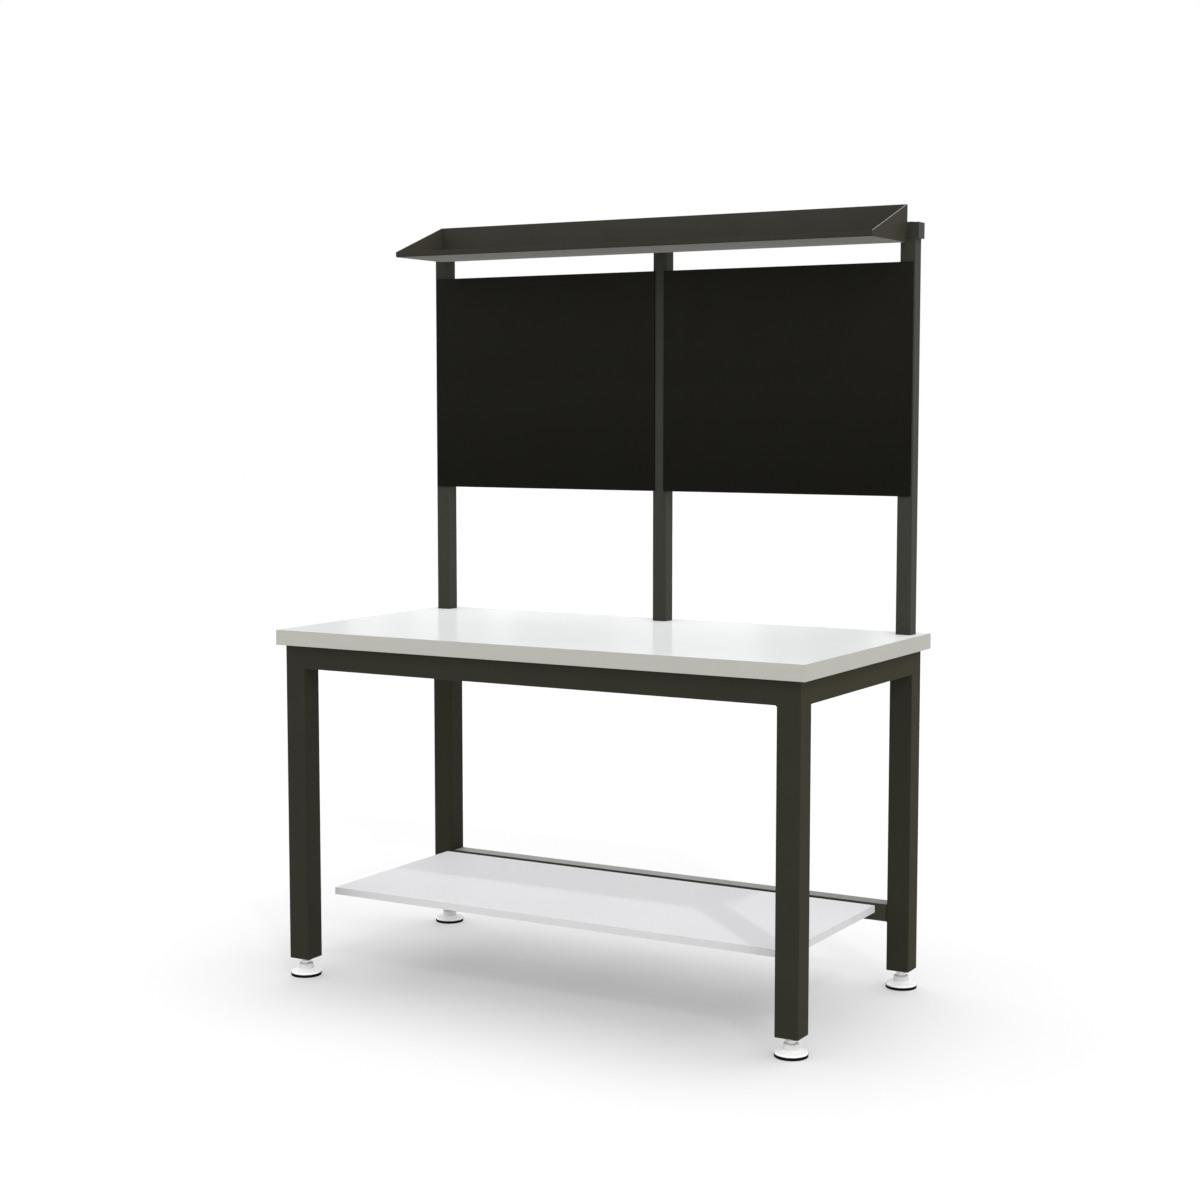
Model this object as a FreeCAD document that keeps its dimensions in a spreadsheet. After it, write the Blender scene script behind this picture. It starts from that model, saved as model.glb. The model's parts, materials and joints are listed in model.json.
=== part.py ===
import FreeCAD, Part
import os
import re

import Sketcher

# A steel-framed workbench: laminate worktop on a square-tube base with levelling feet, a lower
# shelf on cantilever arms, and three uprights that carry two back panels and an overhead tray.
# Millimetres. The origin is on the floor under the middle of the worktop: +X right, +Y rear, +Z up.

# Driving dimensions: name, size, meaning
SIZES = (
    ("top_width", 1500.0, "worktop, side to side"),
    ("top_depth", 768.0, "worktop, front to rear"),
    ("top_height", 915.0, "working surface above the floor"),
    ("core_thickness", 37.4, "worktop board"),
    ("laminate_thickness", 0.8, "laminate on the worktop"),
    ("backer_thickness", 0.8, "balancing sheet under the worktop"),
    ("edge_thickness", 2.0, "edge band round the worktop"),
    ("edge_radius", 1.2, "rounding of the edge band"),
    ("side_inset", 18.0, "worktop overhang past the legs at the sides"),
    ("front_inset", 17.0, "worktop overhang past the front legs"),
    ("rear_inset", 20.0, "worktop overhang past the rear legs"),
    ("leg_section", 60.0, "square tube of the legs and aprons"),
    ("leg_wall", 2.0, "wall of the leg and apron tube"),
    ("tube_corner", 3.0, "outer corner radius of the leg tube"),
    ("apron_height", 60.0, "apron tube, top to bottom"),
    ("stringer_height", 45.0, "rear stringer, top to bottom"),
    ("stringer_depth", 50.0, "rear stringer, front to rear"),
    ("stringer_wall", 2.0, "wall of the stringer tube"),
    ("stringer_drop", 7.0, "stringer top below the lower shelf surface"),
    ("gusset_leg", 90.0, "corner bracket along each apron"),
    ("gusset_thickness", 5.0, "worktop bracket plate"),
    ("tab_width", 60.0, "middle bracket along the apron"),
    ("tab_depth", 40.0, "middle bracket out from the apron"),
    ("top_screw", 5.0, "worktop wood screw diameter"),
    ("top_screw_head", 9.5, "worktop wood screw head diameter"),
    ("top_screw_length", 28.0, "worktop wood screw under the head"),
    ("thread_clearance", 0.05, "radial play of a thread or a pressed pin"),
    ("hole_clearance", 0.25, "radial play of a bolt in a plain hole"),
    ("tip_room", 1.0, "room left past the end of a screw or stud"),
    ("end_plate", 8.0, "threaded plate in the leg end"),
    ("nut_height", 8.0, "lock nut under the leg"),
    ("nut_flats", 24.0, "lock nut and wrench hex across flats"),
    ("seat_gap", 0.3, "play between the wrench hex and the lock nut"),
    ("stud_diameter", 16.0, "threaded stud of the foot"),
    ("stud_reach", 52.0, "stud above the leg end with the foot screwed in"),
    ("stud_chamfer", 1.5, "chamfer at the stud's top end"),
    ("wrench_height", 6.7, "wrench hex on the stud"),
    ("hub_height", 15.0, "straight part of the pad's hub"),
    ("hub_diameter", 38.5, "hub of the pad"),
    ("pad_diameter", 78.0, "foot pad"),
    ("pad_edge", 4.5, "upright rim of the pad"),
    ("pad_slope", 6.0, "rise of the pad from rim to hub"),
    ("pad_rounding", 1.5, "rounding of the pad's rim"),
    ("hub_rounding", 4.5, "rounding at the hub's top"),
    ("pad_floor", 4.0, "pad under the stud socket"),
    ("sole_thickness", 7.5, "rubber sole"),
    ("sole_diameter", 79.5, "rubber sole across"),
    ("sole_chamfer", 1.0, "chamfer at the sole's lower edge"),
    ("boss_diameter", 66.0, "boss under the pad that the sole takes"),
    ("boss_depth", 2.5, "boss depth in the sole"),
    ("post_section", 40.0, "square tube of the uprights"),
    ("post_wall", 2.0, "wall of the upright tube"),
    ("post_corner", 2.0, "outer corner radius of the upright tube"),
    ("post_length", 993.0, "upright from worktop to header bar"),
    ("spigot_clearance", 0.3, "play of the spigot on each side"),
    ("spigot_wall", 3.0, "wall of the spigot tube"),
    ("spigot_rise", 150.0, "spigot above the worktop"),
    ("spigot_base", 10.0, "spigot base plate in the leg end"),
    ("small_bolt", 6.0, "machine screw diameter"),
    ("small_head", 10.5, "machine screw head diameter"),
    ("small_head_height", 3.3, "machine screw head height"),
    ("small_socket", 4.0, "machine screw hex socket across flats"),
    ("small_socket_depth", 2.0, "machine screw hex socket depth"),
    ("small_head_rounding", 1.5, "machine screw head rounding"),
    ("plug_thickness", 10.0, "threaded plug in the upright top"),
    ("header_bolt", 8.0, "header bolt diameter"),
    ("header_bolt_head", 14.0, "header bolt head diameter"),
    ("header_bolt_head_height", 5.0, "header bolt head height"),
    ("access_room", 2.0, "room round a bolt head in its access hole"),
    ("header_section", 40.0, "square tube of the header bar"),
    ("header_wall", 2.0, "wall of the header tube"),
    ("header_overhang", 6.5, "header tube past the outer uprights"),
    ("cap_thickness", 2.0, "flange of the header end cap"),
    ("cap_depth", 15.0, "header end cap inside the tube"),
    ("cap_play", 0.2, "play of the end cap in the tube on each side"),
    ("cap_rounding", 1.2, "rounding of the end cap"),
    ("tray_inset", 28.5, "tray end inside the header tube's end"),
    ("tray_depth", 222.0, "overhead tray, front to rear"),
    ("tray_back", 94.0, "back wall of the tray"),
    ("tray_lip", 14.0, "front lip of the tray"),
    ("tray_sheet", 2.0, "sheet of the tray"),
    ("tray_bend", 2.0, "inner bend radius of the tray"),
    ("tray_drop", 10.0, "tray floor below the header bar"),
    ("tray_stud", 6.0, "weld stud on the tray's back"),
    ("tray_stud_tip", 3.0, "tray stud past its nut"),
    ("tray_stud_chamfer", 0.8, "chamfer at the tray stud's end"),
    ("tray_stud_inset", 140.0, "outer tray stud from the tray's end"),
    ("tray_stud_pitch", 360.0, "tray studs from outer to inner"),
    ("tray_nut_flats", 10.0, "tray nut across flats"),
    ("tray_nut_height", 6.0, "tray nut height"),
    ("tray_flange", 14.0, "tray nut flange diameter"),
    ("tray_flange_height", 1.5, "tray nut flange thickness"),
    ("rivet_sleeve", 9.0, "rivet nut sleeve diameter"),
    ("rivet_bulge", 12.0, "rivet nut crimped bulge diameter"),
    ("rivet_bulge_length", 4.0, "rivet nut crimped bulge length"),
    ("rivet_tail", 6.0, "rivet nut past its bulge"),
    ("panel_height", 585.0, "back panel, top to bottom"),
    ("panel_depth", 4.0, "back panel with its folded edge"),
    ("panel_sheet", 1.2, "sheet of the back panel"),
    ("panel_corner", 2.0, "corner radius of the back panel"),
    ("panel_drop", 57.5, "panel top below the header bar"),
    ("panel_margin", 4.5, "panel edge inside the outer upright's outer face"),
    ("panel_lap", 6.2, "panel lap over the centre upright"),
    ("panel_stud", 5.0, "weld stud on the panel"),
    ("panel_stud_length", 9.0, "weld stud out of the panel sheet"),
    ("panel_nut_flats", 8.0, "panel nut across flats"),
    ("panel_nut_height", 4.0, "panel nut height"),
    ("clip_sheet", 2.0, "panel clip sheet"),
    ("clip_arm", 30.0, "panel clip along the panel"),
    ("clip_depth", 32.0, "panel clip along the upright"),
    ("clip_height", 30.0, "panel clip, top to bottom"),
    ("clip_inset", 90.0, "panel clip centre from the panel's end"),
    ("clip_screw", 4.8, "clip screw diameter"),
    ("clip_screw_head", 9.0, "clip screw head diameter"),
    ("clip_screw_head_height", 3.0, "clip screw head height"),
    ("clip_screw_length", 10.0, "clip screw under the head"),
    ("shelf_side_gap", 14.5, "lower shelf to the leg at each side"),
    ("shelf_setback", 117.0, "lower shelf behind the worktop's front edge"),
    ("shelf_thickness", 18.0, "lower shelf board"),
    ("shelf_top", 224.0, "lower shelf surface above the floor"),
    ("shelf_edge", 1.0, "edging of the lower shelf"),
    ("shelf_rear_gap", 49.0, "lower shelf to stringer"),
    ("arm_side_inset", 177.5, "outer shelf arm from the lower shelf's side"),
    ("arm_setback", 101.0, "shelf arm tip behind the lower shelf's front edge"),
    ("arm_width", 36.0, "shelf arm channel, side to side"),
    ("arm_height", 26.0, "shelf arm channel, top to bottom"),
    ("arm_flange", 20.0, "shelf arm flange out from the channel"),
    ("arm_sheet", 2.5, "shelf arm sheet"),
    ("arm_plate", 5.0, "shelf arm mounting plate"),
    ("arm_plate_width", 110.0, "shelf arm mounting plate, side to side"),
    ("arm_plate_height", 32.0, "shelf arm mounting plate, top to bottom"),
    ("arm_bolt_inset", 13.0, "arm bolt from the plate's side"),
    ("arm_screw_inset", 40.0, "arm screws from the shelf's rear edge and the arm's tip"),
    ("shelf_screw", 4.0, "lower shelf wood screw diameter"),
    ("shelf_screw_head", 8.0, "lower shelf wood screw head diameter"),
    ("shelf_screw_length", 15.0, "lower shelf wood screw under the head"),
    ("screw_head_height", 2.5, "wood screw head height"),
)

# Places and sizes that follow from the driving dimensions
PLACES = {
    "top_thickness": "laminate_thickness + core_thickness + backer_thickness",
    "top_under": "top_height - top_thickness",
    "leg_x": "top_width / 2 - side_inset - leg_section / 2",
    "front_y": "front_inset + leg_section / 2 - top_depth / 2",
    "rear_y": "top_depth / 2 - rear_inset - leg_section / 2",
    "hub_top": "sole_thickness + pad_edge + pad_slope + hub_height",
    "leg_end": "hub_top + wrench_height + seat_gap + nut_height",
    "leg_length": "top_under - leg_end",
    "leg_bore": "leg_section - 2 * leg_wall",
    "inner_x": "leg_x - leg_section / 2",
    "inner_front": "front_y + leg_section / 2",
    "inner_rear": "rear_y - leg_section / 2",
    "apron_z": "top_under - apron_height / 2",
    "stud_hole": "stud_diameter + 2 * thread_clearance",
    "post_bore": "post_section - 2 * post_wall",
    "post_front": "rear_y - post_section / 2",
    "spigot_section": "post_bore - 2 * spigot_clearance",
    "spigot_hole": "spigot_section + 2 * spigot_clearance",
    "header_base": "top_height + post_length",
    "header_bore": "header_section - 2 * header_wall",
    "header_y": "post_front + header_section / 2",
    "header_length": "2 * leg_x + post_section + 2 * header_overhang",
    "tray_base": "header_base - tray_drop",
    "tray_width": "header_length - 2 * tray_inset",
    "tray_stud_outer": "tray_width / 2 - tray_stud_inset",
    "tray_stud_inner": "tray_stud_outer - tray_stud_pitch",
    "tray_stud_z": "header_base + header_section / 2",
    "rivet_hole": "rivet_sleeve + 2 * thread_clearance",
    "small_thread": "small_bolt + 2 * thread_clearance",
    "small_hole": "small_bolt + 2 * hole_clearance",
    "panel_outer": "leg_x + post_section / 2 - panel_margin",
    "panel_inner": "post_section / 2 - panel_lap",
    "panel_x": "(panel_outer + panel_inner) / 2",
    "panel_z": "header_base - panel_drop - panel_height / 2",
    "panel_hollow": "panel_depth - panel_sheet",
    "panel_back": "post_front - panel_hollow",
    "clip_rise": "panel_height / 2 - clip_inset",
    "clip_stud": "(clip_sheet + clip_arm) / 2",
    "clip_screw_y": "clip_depth * 3 / 5",
    "stringer_z": "shelf_top - stringer_drop - stringer_height / 2",
    "stringer_front": "rear_y - stringer_depth / 2",
    "shelf_under": "shelf_top - shelf_thickness",
    "shelf_width": "2 * (inner_x - shelf_side_gap)",
    "shelf_front": "shelf_setback - top_depth / 2",
    "shelf_rear": "stringer_front - shelf_rear_gap",
    "shelf_depth": "shelf_rear - shelf_front",
    "shelf_y": "(shelf_front + shelf_rear) / 2",
    "arm_spacing": "shelf_width / 2 - arm_side_inset",
    "arm_length": "stringer_front - arm_plate - shelf_front - arm_setback",
    "arm_bolt_x": "arm_plate_width / 2 - arm_bolt_inset",
    "arm_bolt_z": "shelf_under - arm_plate_height / 2",
    "arm_screw_x": "arm_width / 2 + arm_flange / 2",
    "arm_screw_near": "shelf_rear_gap + arm_screw_inset",
    "arm_screw_far": "arm_plate + arm_length - arm_screw_inset",
}

SIDES = (("left", -1), ("right", 1))
CORNERS = (
    ("front_left", -1, "front"),
    ("front_right", 1, "front"),
    ("rear_left", -1, "rear"),
    ("rear_right", 1, "rear"),
)
UPRIGHTS = (("left", -1), ("centre", 0), ("right", 1))

# Each face of a body: its origin plane, the side it lies on, and whether a cut from it runs backwards
FACES = {
    "top": ("XY_Plane", 1, False),
    "bottom": ("XY_Plane", -1, True),
    "front": ("XZ_Plane", 1, False),
    "rear": ("XZ_Plane", -1, True),
    "right": ("YZ_Plane", 1, False),
    "left": ("YZ_Plane", -1, True),
}
SECTION_PLANES = {"x": "YZ_Plane", "y": "XZ_Plane", "z": "XY_Plane"}
VECTOR = FreeCAD.Vector
UP = VECTOR(0, 0, 1)
DIRECTIONS = {
    "up": UP,
    "down": VECTOR(0, 0, -1),
    "front": VECTOR(0, -1, 0),
    "rear": VECTOR(0, 1, 0),
    "left": VECTOR(-1, 0, 0),
    "right": VECTOR(1, 0, 0),
}
NEAR = 1e-4

doc = FreeCAD.newDocument("Workbench")
sheet = doc.addObject("Spreadsheet::Sheet", "Sizes")
for row, (alias, size, meaning) in enumerate(SIZES, start=1):
    sheet.set(f"A{row}", meaning)
    sheet.set(f"B{row}", str(size))
    sheet.setAlias(f"B{row}", alias)
doc.recompute()
ALIASES = {alias for alias, size, meaning in SIZES}
nodes = []


def formula(text):
    """Spell out the named places and point every size at its cell."""
    def spell(match):
        word = match.group(0)
        if word in PLACES:
            return f"({formula(PLACES[word])})"
        if word in ALIASES:
            return f"Sizes.{word}"
        return word
    return re.sub(r"[a-z][a-z_]*", spell, str(text))


def number(text):
    """The present value of a formula."""
    return float(sheet.evalExpression(formula(text)))


def tie(item, name, text):
    """Bind a property to a formula of the driving dimensions."""
    item.setExpression(name, formula(text))


def place(item, spot, turn=FreeCAD.Rotation()):
    """Bind an object's position to three formulas, with a fixed turn."""
    item.Placement = FreeCAD.Placement(VECTOR(*(number(text) for text in spot)), turn)
    for axis, text in zip("xyz", spot):
        tie(item, f"Placement.Base.{axis}", text)


def node(item, label):
    """Name a finished sub-part."""
    item.Label = label
    nodes.append(item)
    return item


def pattern(name):
    """Start a body that is only copied, not written by itself."""
    return doc.addObject("PartDesign::Body", name)


def piece(label, spot):
    """Start a sub-part of its own at a place."""
    body = doc.addObject("PartDesign::Body", label)
    place(body, spot)
    return node(body, label)


def sketch(body, plane, offset="0"):
    """Start a sketch on one of the body's own origin planes, moved along its normal."""
    drawing = body.newObject("Sketcher::SketchObject", f"{body.Name}_Sketch")
    support = next(item for item in body.Origin.OriginFeatures if item.Role == plane)
    drawing.AttachmentSupport = [(support, "")]
    drawing.MapMode = "FlatFace"
    tie(drawing, "AttachmentOffset.Base.z", offset)
    doc.recompute()
    return drawing


def measure(drawing, kind, ends, text):
    """Add a dimension to a sketch and bind it."""
    index = drawing.addConstraint(Sketcher.Constraint(kind, *ends, number(text)))
    tie(drawing, f"Constraints[{index}]", text)


def outline(drawing, corners):
    """Add a closed straight-sided outline through (across, up) pairs of formulas."""
    points = [VECTOR(number(across), number(up), 0) for across, up in corners]
    first = drawing.GeometryCount
    count = len(points)
    for step in range(count):
        drawing.addGeometry(Part.LineSegment(points[step], points[(step + 1) % count]), False)
    for step, (across, up) in enumerate(corners):
        line = first + step
        following = first + (step + 1) % count
        drawing.addConstraint(Sketcher.Constraint("Coincident", line, 2, following, 1))
        measure(drawing, "DistanceX", (-1, 1, line, 1), across)
        measure(drawing, "DistanceY", (-1, 1, line, 1), up)


def rectangle(drawing, width, height, across="0", up="0"):
    """Add a rectangle about a centre."""
    left, right = f"{across} - ({width}) / 2", f"{across} + ({width}) / 2"
    low, high = f"{up} - ({height}) / 2", f"{up} + ({height}) / 2"
    outline(drawing, ((left, low), (right, low), (right, high), (left, high)))


def circle(drawing, diameter, across="0", up="0"):
    """Add a circle about a centre."""
    centre = VECTOR(number(across), number(up), 0)
    ring = drawing.addGeometry(Part.Circle(centre, UP, number(diameter) / 2), False)
    measure(drawing, "Diameter", (ring,), diameter)
    measure(drawing, "DistanceX", (-1, 1, ring, 3), across)
    measure(drawing, "DistanceY", (-1, 1, ring, 3), up)


def pad(body, drawing, length, symmetric=False, backward=False):
    """Raise a sketch into a solid."""
    feature = body.newObject("PartDesign::Pad", f"{body.Name}_Pad")
    feature.Profile = drawing
    tie(feature, "Length", length)
    if symmetric:
        feature.SideType = "Symmetric"
    feature.Reversed = backward
    doc.recompute()
    return feature


def pocket(body, drawing, depth, backward):
    """Sink a sketch into the solid, and make sure that it cut something."""
    before = body.Shape.Volume
    feature = body.newObject("PartDesign::Pocket", f"{body.Name}_Pocket")
    feature.Profile = drawing
    tie(feature, "Length", depth)
    feature.Reversed = backward
    doc.recompute()
    if body.Shape.Volume >= before:
        raise RuntimeError(f"{body.Label}: a cut removed nothing")
    return feature


def round_holes(body, face, reach, depth, diameter, centres):
    """Drill holes of one size from a face that lies at a reach from the body's origin."""
    plane, side, backward = FACES[face]
    drawing = sketch(body, plane, f"{side} * ({reach})")
    for across, up in centres:
        circle(drawing, diameter, across, up)
    pocket(body, drawing, depth, backward)


def square_hole(body, face, reach, depth, width, height, across="0", up="0"):
    """Cut a rectangular opening from a face."""
    plane, side, backward = FACES[face]
    drawing = sketch(body, plane, f"{side} * ({reach})")
    rectangle(drawing, width, height, across, up)
    pocket(body, drawing, depth, backward)


def revolve(body, profile):
    """Turn a half section of (radius, height) pairs about the body's Z axis."""
    drawing = sketch(body, "XZ_Plane")
    outline(drawing, profile)
    feature = body.newObject("PartDesign::Revolution", f"{body.Name}_Revolution")
    feature.Profile = drawing
    feature.ReferenceAxis = (drawing, ["V_Axis"])
    feature.Angle = 360
    doc.recompute()
    return feature


def prism(body, kind, flats, height, base):
    """Add or subtract an upright hexagon given across its flats."""
    feature = body.newObject(f"PartDesign::{kind}Prism", f"{body.Name}_Prism")
    feature.Polygon = 6
    tie(feature, "Circumradius", f"({flats}) / sqrt(3)")
    tie(feature, "Height", height)
    tie(feature, "Placement.Base.z", base)
    doc.recompute()
    return feature


def dress(body, kind, edges, name, size):
    """Fillet or chamfer the named edges of the body's last feature."""
    base = body.Tip
    if not edges:
        raise RuntimeError(f"{body.Label}: no edge to dress")
    feature = body.newObject(f"PartDesign::{kind}", f"{body.Name}_{kind}")
    feature.Base = (base, edges)
    tie(feature, name, size)
    doc.recompute()
    return feature


def edges_where(body, wanted):
    """Names of the edges of the body's last feature that a test picks."""
    return [f"Edge{n}" for n, edge in enumerate(body.Tip.Shape.Edges, start=1) if wanted(edge)]


def along(edge, axis):
    """Whether a straight edge runs along an axis."""
    if not isinstance(edge.Curve, Part.Line):
        return False
    return abs(abs(getattr(edge.Curve.Direction, axis)) - 1) < NEAR


def corner_edges(body, axis):
    """Edges along an axis that lie farthest from it."""
    def reach(edge):
        spot = edge.CenterOfMass
        setattr(spot, axis, 0)
        return spot.Length
    far = max(reach(edge) for edge in body.Tip.Shape.Edges if along(edge, axis))
    return edges_where(body, lambda edge: along(edge, axis) and reach(edge) > far - NEAR)


def edges_at(body, axis, spots):
    """Edges along an axis through given places of the two other coordinates."""
    others = [name for name in "xyz" if name != axis]
    wanted = [tuple(number(text) for text in spot) for spot in spots]

    def chosen(edge):
        if not along(edge, axis):
            return False
        here = [getattr(edge.CenterOfMass, name) for name in others]
        return any(abs(here[0] - spot[0]) + abs(here[1] - spot[1]) < NEAR for spot in wanted)
    return edges_where(body, chosen)


def rims(body, diameter, height):
    """Circular edges of a diameter at a height."""
    def chosen(edge):
        curve = edge.Curve
        if not isinstance(curve, Part.Circle):
            return False
        right_size = abs(curve.Radius - number(diameter) / 2) < NEAR
        return right_size and abs(curve.Center.z - number(height)) < NEAR
    return edges_where(body, chosen)


def tube(label, axis, length, width, height, wall, corner, spot):
    """A square or oblong tube about its own middle, along one axis."""
    body = piece(label, spot)
    section = sketch(body, SECTION_PLANES[axis])
    rectangle(section, width, height)
    rectangle(section, f"({width}) - 2 * {wall}", f"({height}) - 2 * {wall}")
    pad(body, section, length, symmetric=True)
    dress(body, "Fillet", corner_edges(body, axis), "Radius", corner)
    return body


def copies(label, spots):
    """Gather placed copies of pattern bodies into one sub-part of separate solids."""
    links = []
    for body, turn, spot in spots:
        link = doc.addObject("App::Link", f"{label}_copy")
        link.LinkedObject = body
        place(link, spot, turn)
        links.append(link)
    group = doc.addObject("Part::Compound", label)
    group.Links = links
    doc.recompute()
    return node(group, label)


def facing(direction):
    """The turn that takes an upright screw's head to a direction."""
    return FreeCAD.Rotation(UP, DIRECTIONS[direction])


def about_z(angle):
    """A turn about the upright axis, in degrees."""
    return FreeCAD.Rotation(UP, angle)


def screw(name, diameter, length, head, head_height):
    """A screw with its head above z = 0 and its shank below."""
    body = pattern(name)
    shank, cap = f"{diameter} / 2", f"{head} / 2"
    below = f"-({length})"
    revolve(body, (
        ("0", below), (shank, below), (shank, "0"), (cap, "0"), (cap, head_height), ("0", head_height),
    ))
    return body


def machine_screw(name, length):
    """A round-headed machine screw with a hex socket."""
    body = screw(name, "small_bolt", length, "small_head", "small_head_height")
    dress(body, "Fillet", rims(body, "small_head", "small_head_height"), "Radius", "small_head_rounding")
    socket_floor = "small_head_height - small_socket_depth"
    prism(body, "Subtractive", "small_socket", "small_socket_depth", socket_floor)
    return body


def rivet_nut(name):
    """A crimped nut for the stringer's wall: its face at z = 0, its tail below."""
    body = pattern(name)
    hole, sleeve, bulge = "small_thread / 2", "rivet_sleeve / 2", "rivet_bulge / 2"
    wall = "-stringer_wall"
    crimp = "-(stringer_wall + rivet_bulge_length)"
    tail = "-(stringer_wall + rivet_bulge_length + rivet_tail)"
    revolve(body, (
        (hole, tail), (sleeve, tail), (sleeve, crimp), (bulge, crimp),
        (bulge, wall), (sleeve, wall), (sleeve, "0"), (hole, "0"),
    ))
    return body


def hex_nut(name, flats, height, hole):
    """A hexagon nut that stands on z = 0."""
    body = pattern(name)
    prism(body, "Additive", flats, height, "0")
    round_holes(body, "bottom", "0", height, hole, [("0", "0")])
    return body


def worktop_screw_spots():
    """Places of the wood screws under the worktop, as (x, y) formulas."""
    spots = []
    for corner, side, end in CORNERS:
        wall, inward = (("inner_front", 1) if end == "front" else ("inner_rear", -1))
        for near, far in ((2, 4), (4, 2)):
            spots.append((
                f"{side} * (inner_x - gusset_leg / {near})",
                f"{wall} + {inward} * gusset_leg / {far}",
            ))
    spots.append(("0", "inner_front + tab_depth / 2"))
    spots.append(("0", "inner_rear - tab_depth / 2"))
    return spots


def worktop():
    """Board, laminate, backer and edge bands, with openings for the spigots."""
    width, depth = "top_width - 2 * edge_thickness", "top_depth - 2 * edge_thickness"
    screws = worktop_screw_spots()
    screw_hole = "top_screw + 2 * thread_clearance"

    def layer(label, thickness, base):
        body = piece(label, ("0", "0", base))
        drawing = sketch(body, "XY_Plane")
        rectangle(drawing, width, depth)
        for name, side in UPRIGHTS:
            rectangle(drawing, "spigot_hole", "spigot_hole", f"{side} * (leg_x)", "rear_y")
        pad(body, drawing, thickness)
        return body

    core = layer("worktop_core", "core_thickness", "top_under + backer_thickness")
    pilot = "top_screw_length - gusset_thickness - backer_thickness + tip_room"
    round_holes(core, "bottom", "0", pilot, screw_hole, screws)
    layer("worktop_laminate", "laminate_thickness", "top_height - laminate_thickness")
    backer = layer("worktop_backer", "backer_thickness", "top_under")
    round_holes(backer, "bottom", "0", "backer_thickness", screw_hole, screws)

    half = "top_thickness / 2"
    for label, side in (("edge_band_front", -1), ("edge_band_rear", 1)):
        body = piece(label, ("0", f"{side} * (top_depth - edge_thickness) / 2", f"top_under + {half}"))
        drawing = sketch(body, "YZ_Plane")
        rectangle(drawing, "edge_thickness", "top_thickness")
        pad(body, drawing, "top_width", symmetric=True)
        outer = f"{side} * edge_thickness / 2"
        edges = edges_at(body, "x", ((outer, half), (outer, f"-({half})")))
        dress(body, "Fillet", edges, "Radius", "edge_radius")
    for name, side in SIDES:
        x = f"{side} * (top_width - edge_thickness) / 2"
        body = piece(f"edge_band_{name}", (x, "0", f"top_under + {half}"))
        drawing = sketch(body, "XZ_Plane")
        rectangle(drawing, "edge_thickness", "top_thickness")
        pad(body, drawing, depth, symmetric=True)
        outer = f"{side} * edge_thickness / 2"
        edges = edges_at(body, "y", ((outer, half), (outer, f"-({half})")))
        dress(body, "Fillet", edges, "Radius", "edge_radius")


def worktop_fixings():
    """Corner gussets and middle tabs flush under the worktop, and the wood screws through them."""
    screw_hole = "top_screw + 2 * hole_clearance"
    gusset = pattern("Gusset")
    drawing = sketch(gusset, "XY_Plane")
    outline(drawing, (("0", "0"), ("gusset_leg", "0"), ("0", "gusset_leg")))
    for across, up in ((2, 4), (4, 2)):
        circle(drawing, screw_hole, f"gusset_leg / {across}", f"gusset_leg / {up}")
    pad(gusset, drawing, "gusset_thickness")
    tab = pattern("Tab")
    drawing = sketch(tab, "XY_Plane")
    rectangle(drawing, "tab_width", "tab_depth")
    circle(drawing, screw_hole)
    pad(tab, drawing, "gusset_thickness")

    base = "top_under - gusset_thickness"
    turns = {"front_left": 0, "front_right": 90, "rear_right": 180, "rear_left": 270}
    spots = [
        (gusset, about_z(turns[corner]), (f"{side} * (inner_x)", f"inner_{end}", base))
        for corner, side, end in CORNERS
    ]
    spots.append((tab, about_z(0), ("0", "inner_front + tab_depth / 2", base)))
    spots.append((tab, about_z(0), ("0", "inner_rear - tab_depth / 2", base)))
    copies("worktop_brackets", spots)

    wood_screw = screw(
        "WorktopScrew", "top_screw", "top_screw_length", "top_screw_head", "screw_head_height",
    )
    copies("worktop_screws", [
        (wood_screw, facing("down"), (x, y, base)) for x, y in worktop_screw_spots()
    ])


def base_frame():
    """Legs, aprons and the rear stringer, all square tube."""
    for corner, side, end in CORNERS:
        spot = (f"{side} * (leg_x)", f"{end}_y", "leg_end + leg_length / 2")
        tube(
            f"leg_{corner}", "z", "leg_length", "leg_section", "leg_section", "leg_wall", "tube_corner",
            spot,
        )
    long_run, short_run = "2 * leg_x - leg_section", "rear_y - front_y - leg_section"
    section = ("leg_section", "apron_height", "leg_wall", "tube_corner")
    tube("apron_front", "x", long_run, *section, ("0", "front_y", "apron_z"))
    rear = tube("apron_rear", "x", long_run, *section, ("0", "rear_y", "apron_z"))
    square_hole(rear, "top", "apron_height / 2", "2 * leg_wall", "spigot_hole", "spigot_hole")
    for name, side in SIDES:
        spot = (f"{side} * (leg_x)", "(front_y + rear_y) / 2", "apron_z")
        tube(f"apron_{name}", "y", short_run, *section, spot)
    stringer = tube(
        "rear_stringer", "x", long_run, "stringer_depth", "stringer_height", "stringer_wall",
        "tube_corner", ("0", "rear_y", "stringer_z"),
    )
    bolts = [(x, "arm_bolt_z - stringer_z") for x in arm_bolt_places()]
    round_holes(stringer, "front", "stringer_depth / 2", "2 * stringer_wall", "rivet_hole", bolts)


def levelling_feet():
    """Threaded plates and lock nuts at the leg ends, and four feet of sole, pad and stud."""
    plate = pattern("EndPlate")
    drawing = sketch(plate, "XY_Plane")
    rectangle(drawing, "leg_bore", "leg_bore")
    circle(drawing, "stud_hole")
    pad(plate, drawing, "end_plate")
    lock_nut = hex_nut("LockNut", "nut_flats", "nut_height", "stud_hole")
    ends = [(f"{side} * (leg_x)", f"{end}_y") for corner, side, end in CORNERS]
    copies("leg_end_plates", [(plate, about_z(0), (x, y, "leg_end")) for x, y in ends])
    copies("lock_nuts", [(lock_nut, about_z(0), (x, y, "leg_end - nut_height")) for x, y in ends])
    for corner, side, end in CORNERS:
        foot(corner, (f"{side} * (leg_x)", f"{end}_y", "0"))


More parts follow.
